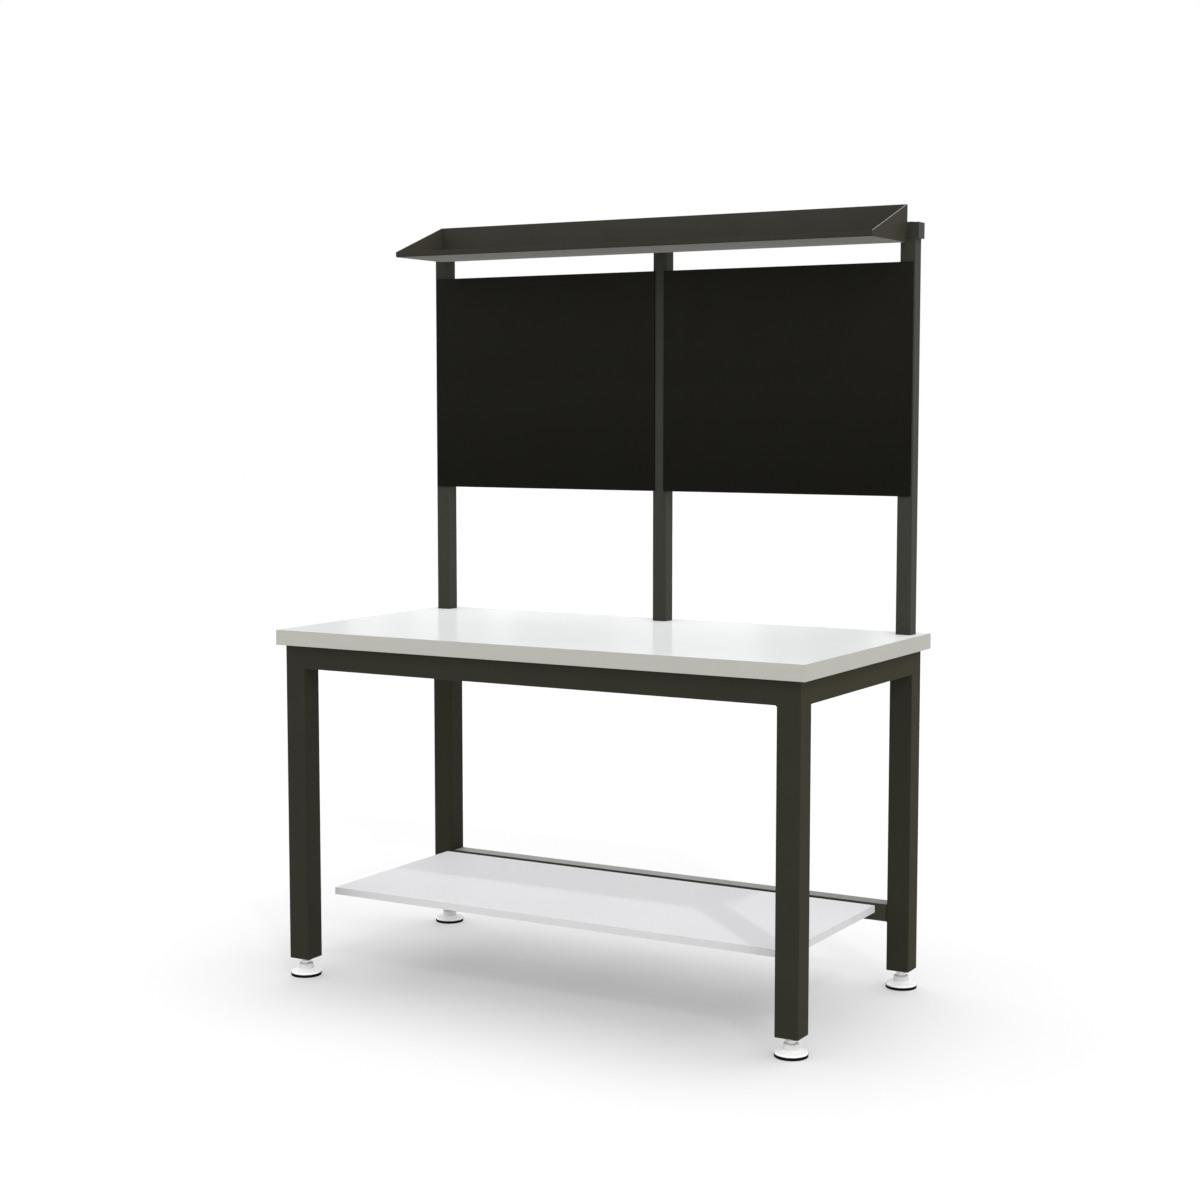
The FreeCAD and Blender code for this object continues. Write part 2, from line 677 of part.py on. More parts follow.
def foot(corner, spot):
    """One levelling foot about its own axis, standing on z = 0."""
    sole = piece(f"foot_sole_{corner}", spot)
    recess = "boss_diameter / 2 + thread_clearance"
    floor = "sole_thickness - boss_depth"
    rim = "sole_diameter / 2"
    revolve(sole, (
        ("0", "0"), (rim, "0"), (rim, "sole_thickness"),
        (recess, "sole_thickness"), (recess, floor), ("0", floor),
    ))
    dress(sole, "Chamfer", rims(sole, "sole_diameter", "0"), "Size", "sole_chamfer")

    shoe = piece(f"foot_pad_{corner}", spot)
    socket = "stud_hole / 2"
    socket_floor = "sole_thickness + pad_floor"
    shoulder = "sole_thickness + pad_edge"
    revolve(shoe, (
        ("0", floor), ("boss_diameter / 2", floor), ("boss_diameter / 2", "sole_thickness"),
        ("pad_diameter / 2", "sole_thickness"), ("pad_diameter / 2", shoulder),
        ("hub_diameter / 2", f"{shoulder} + pad_slope"), ("hub_diameter / 2", "hub_top"),
        (socket, "hub_top"), (socket, socket_floor), ("0", socket_floor),
    ))
    dress(shoe, "Fillet", rims(shoe, "pad_diameter", shoulder), "Radius", "pad_rounding")
    dress(shoe, "Fillet", rims(shoe, "hub_diameter", "hub_top"), "Radius", "hub_rounding")

    stud = piece(f"foot_stud_{corner}", spot)
    shank = "stud_diameter / 2"
    low, high = f"{socket_floor} + tip_room", "leg_end + stud_reach"
    revolve(stud, (("0", low), (shank, low), (shank, high), ("0", high)))
    dress(stud, "Chamfer", rims(stud, "stud_diameter", high), "Size", "stud_chamfer")
    prism(stud, "Additive", "nut_flats", "wrench_height", "hub_top")


def uprights():
    """Three posts on spigots, with their set screws and the threaded plugs in their tops."""
    set_screw_rises = ("spigot_rise / 4", "spigot_rise * 3 / 4")
    for name, side in UPRIGHTS:
        x = f"{side} * (leg_x)"
        middle = "top_height + post_length / 2"
        post = tube(
            f"upright_{name}", "z", "post_length", "post_section", "post_section", "post_wall",
            "post_corner", (x, "rear_y", middle),
        )
        screws = [("0", f"{rise} - post_length / 2") for rise in set_screw_rises]
        round_holes(post, "rear", "post_section / 2", "2 * post_wall", "small_hole", screws)
        clips = [
            ("panel_back + clip_screw_y - rear_y", f"panel_z + {end} * clip_rise - ({middle})")
            for end in (-1, 1)
        ]
        for face, beside in (("left", 1), ("right", -1)):
            if side != -beside:
                clip_hole = "clip_screw + 2 * thread_clearance"
                round_holes(post, face, "post_section / 2", "2 * post_wall", clip_hole, clips)
        spigot(name, x, set_screw_rises)
    screw_body = machine_screw("SetScrew", "post_wall + spigot_clearance + spigot_wall + tip_room")
    rear_face = "rear_y + post_section / 2"
    copies("upright_set_screws", [
        (screw_body, facing("rear"), (f"{side} * leg_x", rear_face, f"top_height + {rise}"))
        for name, side in UPRIGHTS for rise in set_screw_rises
    ])
    plug = pattern("TopPlug")
    drawing = sketch(plug, "XY_Plane")
    rectangle(drawing, "post_bore", "post_bore")
    circle(drawing, "header_bolt + 2 * thread_clearance")
    pad(plug, drawing, "plug_thickness")
    copies("upright_top_plugs", [
        (plug, about_z(0), (f"{side} * (leg_x)", "rear_y", "header_base - plug_thickness"))
        for name, side in UPRIGHTS
    ])


def spigot(name, x, set_screw_rises):
    """A square tube through the worktop: on a plate in the leg end, or down inside the rear apron."""
    foot_level = "top_under - apron_height + leg_wall" if name == "centre" else "top_under"
    body = piece(f"spigot_{name}", (x, "rear_y", foot_level))
    drawing = sketch(body, "XY_Plane")
    rectangle(drawing, "spigot_section", "spigot_section")
    rectangle(drawing, "spigot_section - 2 * spigot_wall", "spigot_section - 2 * spigot_wall")
    pad(body, drawing, f"top_height + spigot_rise - ({foot_level})")
    if name != "centre":
        base = sketch(body, "XY_Plane")
        rectangle(base, "leg_bore", "leg_bore")
        pad(body, base, "spigot_base", backward=True)
    screws = [("0", f"top_height + {rise} - ({foot_level})") for rise in set_screw_rises]
    round_holes(body, "rear", "spigot_section / 2", "2 * spigot_wall", "small_thread", screws)


def header():
    """The bar across the uprights, its bolts and its end caps."""
    middle = "header_base + header_section / 2"
    bar = tube(
        "header_bar", "x", "header_length", "header_section", "header_section", "header_wall",
        "post_corner", ("0", "header_y", middle),
    )
    half, through = "header_section / 2", "2 * header_wall"
    over_posts = [(f"{side} * (leg_x)", "rear_y - (header_y)") for name, side in UPRIGHTS]
    round_holes(bar, "bottom", half, through, "header_bolt + 2 * hole_clearance", over_posts)
    round_holes(bar, "top", half, through, "header_bolt_head + 2 * access_room", over_posts)
    studs = [(x, "0") for x in tray_stud_places()]
    round_holes(bar, "front", half, "header_section", "tray_stud + 2 * hole_clearance", studs)

    bolt = screw(
        "HeaderBolt", "header_bolt", "header_wall + plug_thickness + tip_room", "header_bolt_head",
        "header_bolt_head_height",
    )
    copies("header_bolts", [
        (bolt, facing("up"), (f"{side} * leg_x", "rear_y", "header_base + header_wall"))
        for name, side in UPRIGHTS
    ])
    cap = pattern("EndCap")
    drawing = sketch(cap, "YZ_Plane")
    rectangle(drawing, "header_section", "header_section")
    pad(cap, drawing, "cap_thickness")
    outer = edges_where(cap, lambda edge: edge.CenterOfMass.x > number("cap_thickness") - NEAR)
    dress(cap, "Fillet", outer, "Radius", "cap_rounding")
    drawing = sketch(cap, "YZ_Plane")
    rectangle(drawing, "header_bore - 2 * cap_play", "header_bore - 2 * cap_play")
    pad(cap, drawing, "cap_depth", backward=True)
    copies("header_end_caps", [
        (cap, about_z(turn), (f"{side} * header_length / 2", "header_y", middle))
        for turn, side in ((180, -1), (0, 1))
    ])


def tray_stud_places():
    """Places of the tray studs along the header bar."""
    return [f"{side} * {reach}" for side in (-1, 1) for reach in ("tray_stud_inner", "tray_stud_outer")]


def overhead_tray():
    """A folded pan with two welded ends, and the studs on its back that go through the header bar."""
    front, inside = "-tray_depth", "tray_sheet - tray_depth"
    pan = piece("overhead_tray", ("0", "post_front", "tray_base"))
    drawing = sketch(pan, "YZ_Plane")
    outline(drawing, (
        (front, "0"), ("0", "0"), ("0", "tray_back"), ("-tray_sheet", "tray_back"),
        ("-tray_sheet", "tray_sheet"), (inside, "tray_sheet"), (inside, "tray_lip"), (front, "tray_lip"),
    ))
    pad(pan, drawing, "tray_width - 2 * tray_sheet", symmetric=True)
    inner = edges_at(pan, "x", (("-tray_sheet", "tray_sheet"), (inside, "tray_sheet")))
    dress(pan, "Fillet", inner, "Radius", "tray_bend")
    outer = edges_at(pan, "x", ((front, "0"), ("0", "0")))
    dress(pan, "Fillet", outer, "Radius", "tray_bend + tray_sheet")

    for name, side in SIDES:
        x = f"{side} * (tray_width - tray_sheet) / 2"
        end = piece(f"tray_end_{name}", (x, "post_front", "tray_base"))
        drawing = sketch(end, "YZ_Plane")
        outline(drawing, (
            (front, "0"), ("0", "0"), ("0", "tray_back"), ("-tray_sheet", "tray_back"), (front, "tray_lip"),
        ))
        pad(end, drawing, "tray_sheet", symmetric=True)
        bends = edges_at(end, "x", ((front, "0"), ("0", "0")))
        dress(end, "Fillet", bends, "Radius", "tray_bend + tray_sheet")

    stud = pattern("TrayStud")
    shank, length = "tray_stud / 2", "header_section + tray_nut_height + tray_stud_tip"
    revolve(stud, (("0", "0"), (shank, "0"), (shank, length), ("0", length)))
    dress(stud, "Chamfer", rims(stud, "tray_stud", length), "Size", "tray_stud_chamfer")
    copies("tray_studs", [
        (stud, facing("rear"), (x, "post_front", "tray_stud_z")) for x in tray_stud_places()
    ])


def back_panels():
    """Two folded panels with weld studs, and the clips and screws that hold them."""
    for name, side in SIDES:
        body = piece(f"back_panel_{name}", (f"{side} * (panel_x)", "post_front", "panel_z"))
        width = "panel_outer - (panel_inner)"
        drawing = sketch(body, "XZ_Plane")
        rectangle(drawing, width, "panel_height")
        pad(body, drawing, "panel_depth")
        dress(body, "Fillet", corner_edges(body, "y"), "Radius", "panel_corner")
        rim = "2 * panel_sheet"
        square_hole(body, "rear", "0", "panel_hollow", f"{width} - {rim}", f"panel_height - {rim}")
        studs = sketch(body, "XZ_Plane", "panel_hollow")
        for reach in ("leg_x - post_section / 2 - (clip_stud)", "post_section / 2 + (clip_stud)"):
            for end in (-1, 1):
                circle(studs, "panel_stud", f"{side} * ({reach} - (panel_x))", f"{end} * (clip_rise)")
        pad(body, studs, "panel_stud_length", backward=True)

    clip = pattern("Clip")
    drawing = sketch(clip, "XY_Plane")
    outline(drawing, (
        ("0", "0"), ("0", "clip_depth"), ("-clip_sheet", "clip_depth"), ("-clip_sheet", "clip_sheet"),
        ("-clip_arm", "clip_sheet"), ("-clip_arm", "0"),
    ))
    pad(clip, drawing, "clip_height", symmetric=True)
    stud_hole, screw_hole = "panel_stud + 2 * hole_clearance", "clip_screw + 2 * hole_clearance"
    round_holes(clip, "rear", "clip_sheet", "2 * clip_sheet", stud_hole, [("-clip_stud", "0")])
    round_holes(clip, "right", "0", "2 * clip_sheet", screw_hole, [("clip_screw_y", "0")])
    clip_screw = screw(
        "ClipScrew", "clip_screw", "clip_screw_length", "clip_screw_head", "clip_screw_head_height",
    )
    turned = FreeCAD.Rotation(DIRECTIONS["rear"], 180)
    copies("panel_clips", [
        (clip, about_z(0) if way < 0 else turned, (x, "panel_back", z)) for x, way, z in clip_spots()
    ])
    copies("clip_screws", [
        (
            clip_screw, facing("left" if way < 0 else "right"),
            (f"{x} + {way} * clip_sheet", "panel_back + clip_screw_y", z),
        )
        for x, way, z in clip_spots()
    ])


def clip_spots():
    """Each clip's upright face, the way that the clip points from it, and its height."""
    faces = [(f"{side} * (leg_x - post_section / 2)", -side) for name, side in SIDES]
    faces += [(f"{side} * post_section / 2", side) for name, side in SIDES]
    return [(x, way, f"panel_z + {end} * clip_rise") for x, way in faces for end in (-1, 1)]


def stud_nuts():
    """The nuts on the weld studs of the panels and the tray."""
    panel_thread, tray_thread = "panel_stud + 2 * thread_clearance", "tray_stud + 2 * thread_clearance"
    panel_nut = hex_nut("PanelNut", "panel_nut_flats", "panel_nut_height", panel_thread)
    tray_nut = hex_nut("TrayNut", "tray_nut_flats", "tray_nut_height", tray_thread)
    flange = sketch(tray_nut, "XY_Plane")
    circle(flange, "tray_flange")
    circle(flange, tray_thread)
    pad(tray_nut, flange, "tray_flange_height")
    nuts = [
        (panel_nut, facing("rear"), (f"{x} + {way} * clip_stud", "panel_back + clip_sheet", z))
        for x, way, z in clip_spots()
    ]
    header_back = "post_front + header_section"
    nuts += [(tray_nut, facing("rear"), (x, header_back, "tray_stud_z")) for x in tray_stud_places()]
    copies("stud_nuts", nuts)


def arm_bolt_places():
    """Places of the arm bolts along the stringer."""
    return [f"{side} * arm_spacing + {hand} * arm_bolt_x" for name, side in UPRIGHTS for hand in (-1, 1)]


def arm_screw_spots():
    """Places of the lower shelf's wood screws, as (x, y) formulas from an arm's middle and the stringer."""
    return [
        (f"{hand} * (arm_screw_x)", f"-({reach})")
        for hand in (-1, 1) for reach in ("arm_screw_near", "arm_screw_far")
    ]


def lower_shelf():
    """The shelf board with its edging, three channel arms on plates, and their fixings."""
    width, depth = "shelf_width - 2 * shelf_edge", "shelf_depth - 2 * shelf_edge"
    board = piece("lower_shelf_board", ("0", "shelf_y", "shelf_under"))
    drawing = sketch(board, "XY_Plane")
    rectangle(drawing, width, depth)
    pad(board, drawing, "shelf_thickness")
    screws = [
        (f"{side} * arm_spacing + {x}", f"stringer_front + {y}")
        for name, side in UPRIGHTS for x, y in arm_screw_spots()
    ]
    pilots = [(x, f"{y} - (shelf_y)") for x, y in screws]
    pilot_depth = "shelf_screw_length - arm_sheet + tip_room"
    round_holes(board, "bottom", "0", pilot_depth, "shelf_screw + 2 * thread_clearance", pilots)
    edging = piece("lower_shelf_edging", ("0", "shelf_y", "shelf_under"))
    drawing = sketch(edging, "XY_Plane")
    rectangle(drawing, "shelf_width", "shelf_depth")
    rectangle(drawing, width, depth)
    pad(edging, drawing, "shelf_thickness")

    for name, side in UPRIGHTS:
        shelf_arm(name, (f"{side} * arm_spacing", "stringer_front", "shelf_under"))
    bolt = machine_screw("ArmBolt", "arm_plate + stringer_wall + rivet_bulge_length + rivet_tail")
    copies("arm_bolts", [
        (bolt, facing("front"), (x, "stringer_front - arm_plate", "arm_bolt_z")) for x in arm_bolt_places()
    ])
    nut = rivet_nut("RivetNut")
    copies("rivet_nuts", [
        (nut, facing("front"), (x, "stringer_front", "arm_bolt_z")) for x in arm_bolt_places()
    ])
    wood_screw = screw(
        "ShelfScrew", "shelf_screw", "shelf_screw_length", "shelf_screw_head", "screw_head_height",
    )
    copies("shelf_screws", [
        (wood_screw, facing("down"), (x, y, "shelf_under - arm_sheet")) for x, y in screws
    ])


def shelf_arm(name, spot):
    """A flanged channel, open at the top, welded to a plate on the stringer."""
    body = piece(f"shelf_arm_{name}", spot)
    plate = sketch(body, "XZ_Plane")
    rectangle(plate, "arm_plate_width", "arm_plate_height", "0", "-arm_plate_height / 2")
    for hand in (-1, 1):
        circle(plate, "small_hole", f"{hand} * (arm_bolt_x)", "-arm_plate_height / 2")
    pad(body, plate, "arm_plate")
    channel = sketch(body, "XZ_Plane", "arm_plate")
    outer, inner = "arm_width / 2", "(arm_width / 2 - arm_sheet)"
    rim = "(arm_width / 2 + arm_flange)"
    floor = "arm_sheet - arm_height"
    outline(channel, (
        (f"-{rim}", "0"), (f"-{inner}", "0"), (f"-{inner}", floor),
        (inner, floor), (inner, "0"), (rim, "0"),
        (rim, "-arm_sheet"), (outer, "-arm_sheet"), (outer, "-arm_height"), (f"-{outer}", "-arm_height"),
        (f"-{outer}", "-arm_sheet"), (f"-{rim}", "-arm_sheet"),
    ))
    pad(body, channel, "arm_length")
    round_holes(body, "top", "0", "2 * arm_sheet", "shelf_screw + 2 * hole_clearance", arm_screw_spots())


def write_parts():
    """Check every object and write each sub-part to its own file."""
    doc.recompute()
    for item in doc.Objects:
        if {"Invalid", "Error"} & set(item.State):
            raise RuntimeError(f"{item.Label} failed: {item.State}")
    for item in nodes:
        if item.Shape.isNull() or not item.Shape.isValid():
            raise RuntimeError(f"{item.Label} has no valid shape")
    os.makedirs("parts", exist_ok=True)
    for item in nodes:
        item.Shape.exportStep(os.path.join("parts", f"{item.Label}.step"))
    solids = sum(len(item.Shape.Solids) for item in nodes)
    print(f"{len(nodes)} sub-parts, {solids} solids")


worktop()
worktop_fixings()
base_frame()
levelling_feet()
uprights()
header()
overhead_tray()
back_panels()
stud_nuts()
lower_shelf()
write_parts()
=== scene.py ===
import json
import math

import bmesh
import bpy
from mathutils import Matrix, Vector


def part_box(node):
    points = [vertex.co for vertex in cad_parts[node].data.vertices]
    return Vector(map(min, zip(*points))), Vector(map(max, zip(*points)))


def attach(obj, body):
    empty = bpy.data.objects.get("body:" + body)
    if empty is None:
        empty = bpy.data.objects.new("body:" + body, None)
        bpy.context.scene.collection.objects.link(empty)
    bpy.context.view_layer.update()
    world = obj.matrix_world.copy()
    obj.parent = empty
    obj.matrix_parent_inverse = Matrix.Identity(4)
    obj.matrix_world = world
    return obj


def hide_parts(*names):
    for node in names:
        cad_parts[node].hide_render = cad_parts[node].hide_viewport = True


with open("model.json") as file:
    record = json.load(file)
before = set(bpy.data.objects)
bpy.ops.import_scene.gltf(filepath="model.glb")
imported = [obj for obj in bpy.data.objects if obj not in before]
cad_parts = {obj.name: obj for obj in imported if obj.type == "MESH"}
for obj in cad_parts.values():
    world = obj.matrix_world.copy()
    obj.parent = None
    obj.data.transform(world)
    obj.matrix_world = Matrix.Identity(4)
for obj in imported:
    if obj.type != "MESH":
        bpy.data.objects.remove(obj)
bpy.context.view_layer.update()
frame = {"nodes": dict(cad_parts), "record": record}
scene = bpy.context.scene
scene.view_settings.view_transform = "Standard"

# Camera at the photograph's viewing angle: its place and how far it sees, in metres, its angles in degrees,
# and its lens and sensor in millimetres.
CAMERA_PLACE = (2.6760, -4.62175, 1.48169)
CAMERA_SIGHT = 200.0
CAMERA_TILT = 84.81
CAMERA_TURN = 30.09
CAMERA_LENS = 62.67
CAMERA_SENSOR = 36.0

# Light on the bench: a soft white room, brighter round the sides than overhead, and one weak soft key lamp.
# The room dims between two angles above the horizon. Angles are in degrees.
ROOM_SIDE = 1.40
ROOM_TOP = 0.50
ROOM_DIMS = (40.0, 68.0)
KEY_FROM = (0.67, -0.63, 1.0)
KEY_STRENGTH = 0.50
KEY_SOFTNESS = 2.5

# Stage floor, in metres: four quarters of a disc, with risers below their edges, and the glow of each.
FLOOR_COLOUR = (0.30, 0.30, 0.30, 1.0)
FLOOR_GLOW = 0.275
FLOOR_REACH = 40.0
FLOOR_SEGMENTS = 24
RISER_DEPTH = 0.05
RISER_GLOW = 0.50

# Lamp for the floor alone: its strength, its spread and its tilt in degrees, and the pieces it shines past.
FLOOR_LAMP = 4.35
FLOOR_LAMP_SPREAD = 44.0
FLOOR_LAMP_TILT = 6.0
LOW_SHELF = (
    "lower_shelf_board", "lower_shelf_edging", "shelf_arm_left", "shelf_arm_centre", "shelf_arm_right",
    "rear_stringer",
)

# Light and dark cards behind the bench that only shiny faces mirror: the bearing from the camera,
# left of +Y, and the width, both in degrees, and the brightness beside the white room's 1.
# Their distance from the camera and their height are in metres.
CARDS = (
    (38.1, 2.1, 0.2), (36.4, 1.0, 1.3), (34.7, 1.1, 1.5), (32.8, 0.7, 1.5),
    (27.8, 3.8, 1.4), (24.85, 1.4, 0.4), (23.55, 1.7, 0.0),
)
CARD_DISTANCE = 14.0
CARD_HEIGHT = 6.0

# Looks: the tints of a sheen and its usual roughness, and the factors of painted light on a sheet's inner
# face and of painted shade on a hub.
WHITE = (1.0, 1.0, 1.0)
WARM = (1.0, 0.94, 0.74)
SHEEN_ROUGH = 0.15
INSIDE_PAINTED_LIGHT = 1.75
HUB_PAINTED_SHADE = 0.67
UP = (0.0, 0.0, 1.0)


def shade(colour, factor):
    return tuple(part * factor for part in colour)


class Look:
    """One procedural material: a Principled shader and the textures that feed it."""

    def __init__(self, name, specular, metallic=0.0, sheen=0.0, sheen_rough=SHEEN_ROUGH, sheen_tint=WHITE):
        self.material = bpy.data.materials.new(name)
        self.material.use_nodes = True
        self.tree = self.material.node_tree
        self.shader = self.tree.nodes["Principled BSDF"]
        self.shader.inputs["Specular IOR Level"].default_value = specular
        self.shader.inputs["Metallic"].default_value = metallic
        self.shader.inputs["Sheen Weight"].default_value = sheen
        self.shader.inputs["Sheen Roughness"].default_value = sheen_rough
        self.shader.inputs["Sheen Tint"].default_value = (*sheen_tint, 1.0)
        self.place = self.node("ShaderNodeTexCoord").outputs["Object"]

    def node(self, kind):
        return self.tree.nodes.new(kind)

    def link(self, source, target):
        self.tree.links.new(source, target)

    def noise(self, per_metre, detail=2.0, stretch=None):
        """Cloudy noise with that many lumps to the metre."""
        texture = self.node("ShaderNodeTexNoise")
        texture.inputs["Scale"].default_value = per_metre
        texture.inputs["Detail"].default_value = detail
        if stretch:
            scaled = self.node("ShaderNodeMapping")
            scaled.inputs["Scale"].default_value = stretch
            self.link(self.place, scaled.inputs["Vector"])
            self.link(scaled.outputs["Vector"], texture.inputs["Vector"])
        else:
            self.link(self.place, texture.inputs["Vector"])
        return texture.outputs["Fac"]

    def cells(self, per_metre, output="Distance"):
        """Cells like pressed chips, with that many to the metre."""
        texture = self.node("ShaderNodeTexVoronoi")
        texture.inputs["Scale"].default_value = per_metre
        self.link(self.place, texture.inputs["Vector"])
        return texture.outputs[output]

    def height(self, low, high):
        """0 at the height low and 1 at the height high, in metres."""
        parts = self.node("ShaderNodeSeparateXYZ")
        self.link(self.place, parts.inputs["Vector"])
        return self.spread(parts.outputs["Z"], start=low, end=high)

    def facing(self, direction):
        """1 on faces that look in a direction, and 0 on those that look aside."""
        along = self.node("ShaderNodeVectorMath")
        along.operation = "DOT_PRODUCT"
        self.link(self.node("ShaderNodeNewGeometry").outputs["True Normal"], along.inputs[0])
        along.inputs[1].default_value = direction
        return self.spread(along.outputs["Value"], start=0.4, end=0.6)

    def spread(self, value, low=0.0, high=1.0, start=0.3, end=0.7):
        """The value's range start to end, laid out over low to high."""
        spread = self.node("ShaderNodeMapRange")
        spread.inputs["From Min"].default_value = start
        spread.inputs["From Max"].default_value = end
        spread.inputs["To Min"].default_value = low
        spread.inputs["To Max"].default_value = high
        self.link(value, spread.inputs["Value"])
        return spread.outputs["Result"]

    def mix(self, share, first, second):
        """A colour between two, each a plain colour or another texture's output."""
        blend = self.node("ShaderNodeMix")
        blend.data_type = "RGBA"
        self.link(share, blend.inputs["Factor"])
        for name, colour in (("A", first), ("B", second)):
            socket = [item for item in blend.inputs if item.name == name and item.type == "RGBA"][0]
            if isinstance(colour, tuple):
                socket.default_value = (*colour, 1.0)
            else:
                self.link(colour, socket)
        return [item for item in blend.outputs if item.type == "RGBA"][0]

    def shades(self, share, colour, deep, pale):
        """A colour between two shades of itself: deep at share 0, and pale at share 1."""
        return self.mix(share, shade(colour, deep), shade(colour, pale))

    def colour(self, source):
        self.link(source, self.shader.inputs["Base Color"])

    def rough(self, texture, middle, play):
        """Roughness that follows a texture, by play to each side of a middle value."""
        self.link(self.spread(texture, middle - play, middle + play), self.shader.inputs["Roughness"])

    def relief(self, *layers):
        """Bump layers, each a texture and its depth in metres."""
        normal = None
        for texture, depth in layers:
            bump = self.node("ShaderNodeBump")
            bump.inputs["Distance"].default_value = depth
            self.link(texture, bump.inputs["Height"])
            if normal:
                self.link(normal, bump.inputs["Normal"])
            normal = bump.outputs["Normal"]
        self.link(normal, self.shader.inputs["Normal"])


def powder_coat(
    name, colour, specular, rough, sheen=0.0, sheen_rough=SHEEN_ROUGH, sheen_tint=WARM,
    light_by_height=None, painted_edge_highlight=None, inside=None,
):
    """Fine-texture powder coat: sub-millimetre grain over a faint orange peel, and uneven gloss.
    Given two heights, the colour goes from deeper to paler between them, with its shade at each: painted
    shade low down and painted light higher up.
    Given a colour for faces that look up, the sheet's sloping cut edges, those faces take it: a painted
    highlight.
    Given the direction in which a sheet's inner face looks, that face is paler: painted light."""
    look = Look(name, specular, sheen=sheen, sheen_rough=sheen_rough, sheen_tint=sheen_tint)
    grain = look.noise(per_metre=1300.0)
    peel = look.noise(per_metre=210.0)
    patches = look.noise(per_metre=9.0, detail=3.0)
    tone = look.shades(look.spread(patches), colour, deep=0.95, pale=1.05)
    if light_by_height:
        low, high, deep, pale = light_by_height
        painted_shading_by_height = look.shades(look.height(low, high), colour, deep, pale)
        tone = look.mix(look.spread(patches, low=0.4, high=0.6), tone, painted_shading_by_height)
    # A sheet's inner face is paler: painted light.
    if inside:
        tone = look.mix(look.facing(inside), tone, shade(colour, INSIDE_PAINTED_LIGHT))
    # Faces that look up take a pale colour: a painted highlight.
    if painted_edge_highlight:
        tone = look.mix(look.facing(UP), tone, painted_edge_highlight)
    specks = look.spread(grain, high=0.35, start=0.45, end=0.75)
    look.colour(look.mix(specks, tone, shade(colour, factor=1.5)))
    look.rough(patches, middle=rough, play=0.05)
    look.relief((peel, 0.00012), (grain, 0.00006))
    return look.material


def moulded_plastic(name, colour, specular, rough, hub=None):
    """Moulded plastic with a fine spark-eroded grain. hub gives two heights, above which it is greyer: a
    painted shade.
    """
    look = Look(name, specular)
    grain = look.noise(per_metre=1700.0)
    flow = look.noise(per_metre=24.0)
    tone = look.shades(look.spread(flow), colour, deep=0.97, pale=1.02)
    if hub:
        tone = look.mix(look.height(*hub), tone, shade(colour, HUB_PAINTED_SHADE))
    look.colour(tone)
    look.rough(grain, middle=rough, play=0.06)
    look.relief((grain, 0.00004))
    return look.material


def laminate(name, colour, specular, rough):
    """Decor laminate: a fine pearl texture, and specks that show only close up."""
    look = Look(name, specular)
    pearl = look.noise(per_metre=900.0)
    fine = look.noise(per_metre=2600.0, detail=1.0)
    drift = look.noise(per_metre=3.0)
    tone = look.shades(look.spread(drift), colour, deep=0.985, pale=1.01)
    specks = look.spread(fine, high=0.6, start=0.62, end=0.75)
    look.colour(look.mix(specks, tone, shade(colour, factor=0.85)))
    look.rough(pearl, middle=rough, play=0.04)
    look.relief((pearl, 0.00002))
    return look.material


def edge_band(name, colour, specular, rough):
    """Plastic edge band with faint drawn lines along its length."""
    look = Look(name, specular)
    lines = look.noise(per_metre=700.0, stretch=(0.02, 0.02, 1.0))
    drift = look.noise(per_metre=6.0)
    tone = look.shades(look.spread(drift), colour, deep=0.97, pale=1.02)
    look.colour(look.mix(look.spread(lines, high=0.5), tone, shade(colour, factor=0.94)))
    look.rough(lines, middle=rough, play=0.05)
    look.relief((lines, 0.00003))
    return look.material


def chipboard(name, colour):
    """Pressed chips of two tones with dark glue lines."""
    look = Look(name, specular=0.2)
    chips = look.cells(per_metre=260.0, output="Color")
    gaps = look.cells(per_metre=260.0)
    fibres = look.noise(per_metre=1200.0, detail=3.0, stretch=(1.0, 1.0, 4.0))
    tone = look.shades(look.spread(chips, start=0.0, end=1.0), colour, deep=0.7, pale=1.25)
    look.colour(look.mix(look.spread(fibres, high=0.5), tone, shade(colour, factor=0.55)))
    look.rough(fibres, middle=0.875, play=0.075)
    look.relief((gaps, 0.0006), (fibres, 0.0002))
    return look.material


def zinc(name, colour):
    """Zinc plate: a bright metal with cloudy spangle, a faint yellow film and slightly uneven gloss."""
    look = Look(name, specular=0.5, metallic=1.0)
    spangle = look.noise(per_metre=120.0, detail=3.0)
    film = look.noise(per_metre=26.0)
    fine = look.noise(per_metre=1500.0)
    yellow = (colour[0], colour[1], colour[2] * 0.93)
    tone = look.mix(look.spread(film), shade(colour, factor=0.92), yellow)
    look.colour(look.mix(look.spread(spangle, high=0.5), tone, shade(colour, factor=1.15)))
    look.rough(spangle, middle=0.46, play=0.08)
    look.relief((fine, 0.00002))
    return look.material


def rubber(name, colour):
    """Matt rubber with a coarse grain and a little dust."""
    look = Look(name, specular=0.08)
    grain = look.noise(per_metre=1100.0, detail=3.0)
    cloud = look.noise(per_metre=60.0, detail=3.0)
    dust = look.spread(cloud, high=0.5, start=0.5, end=0.8)
    look.colour(look.shades(dust, colour, deep=1.0, pale=2.2))
    look.rough(grain, middle=0.81, play=0.09)
    look.relief((grain, 0.00012))
    return look.material


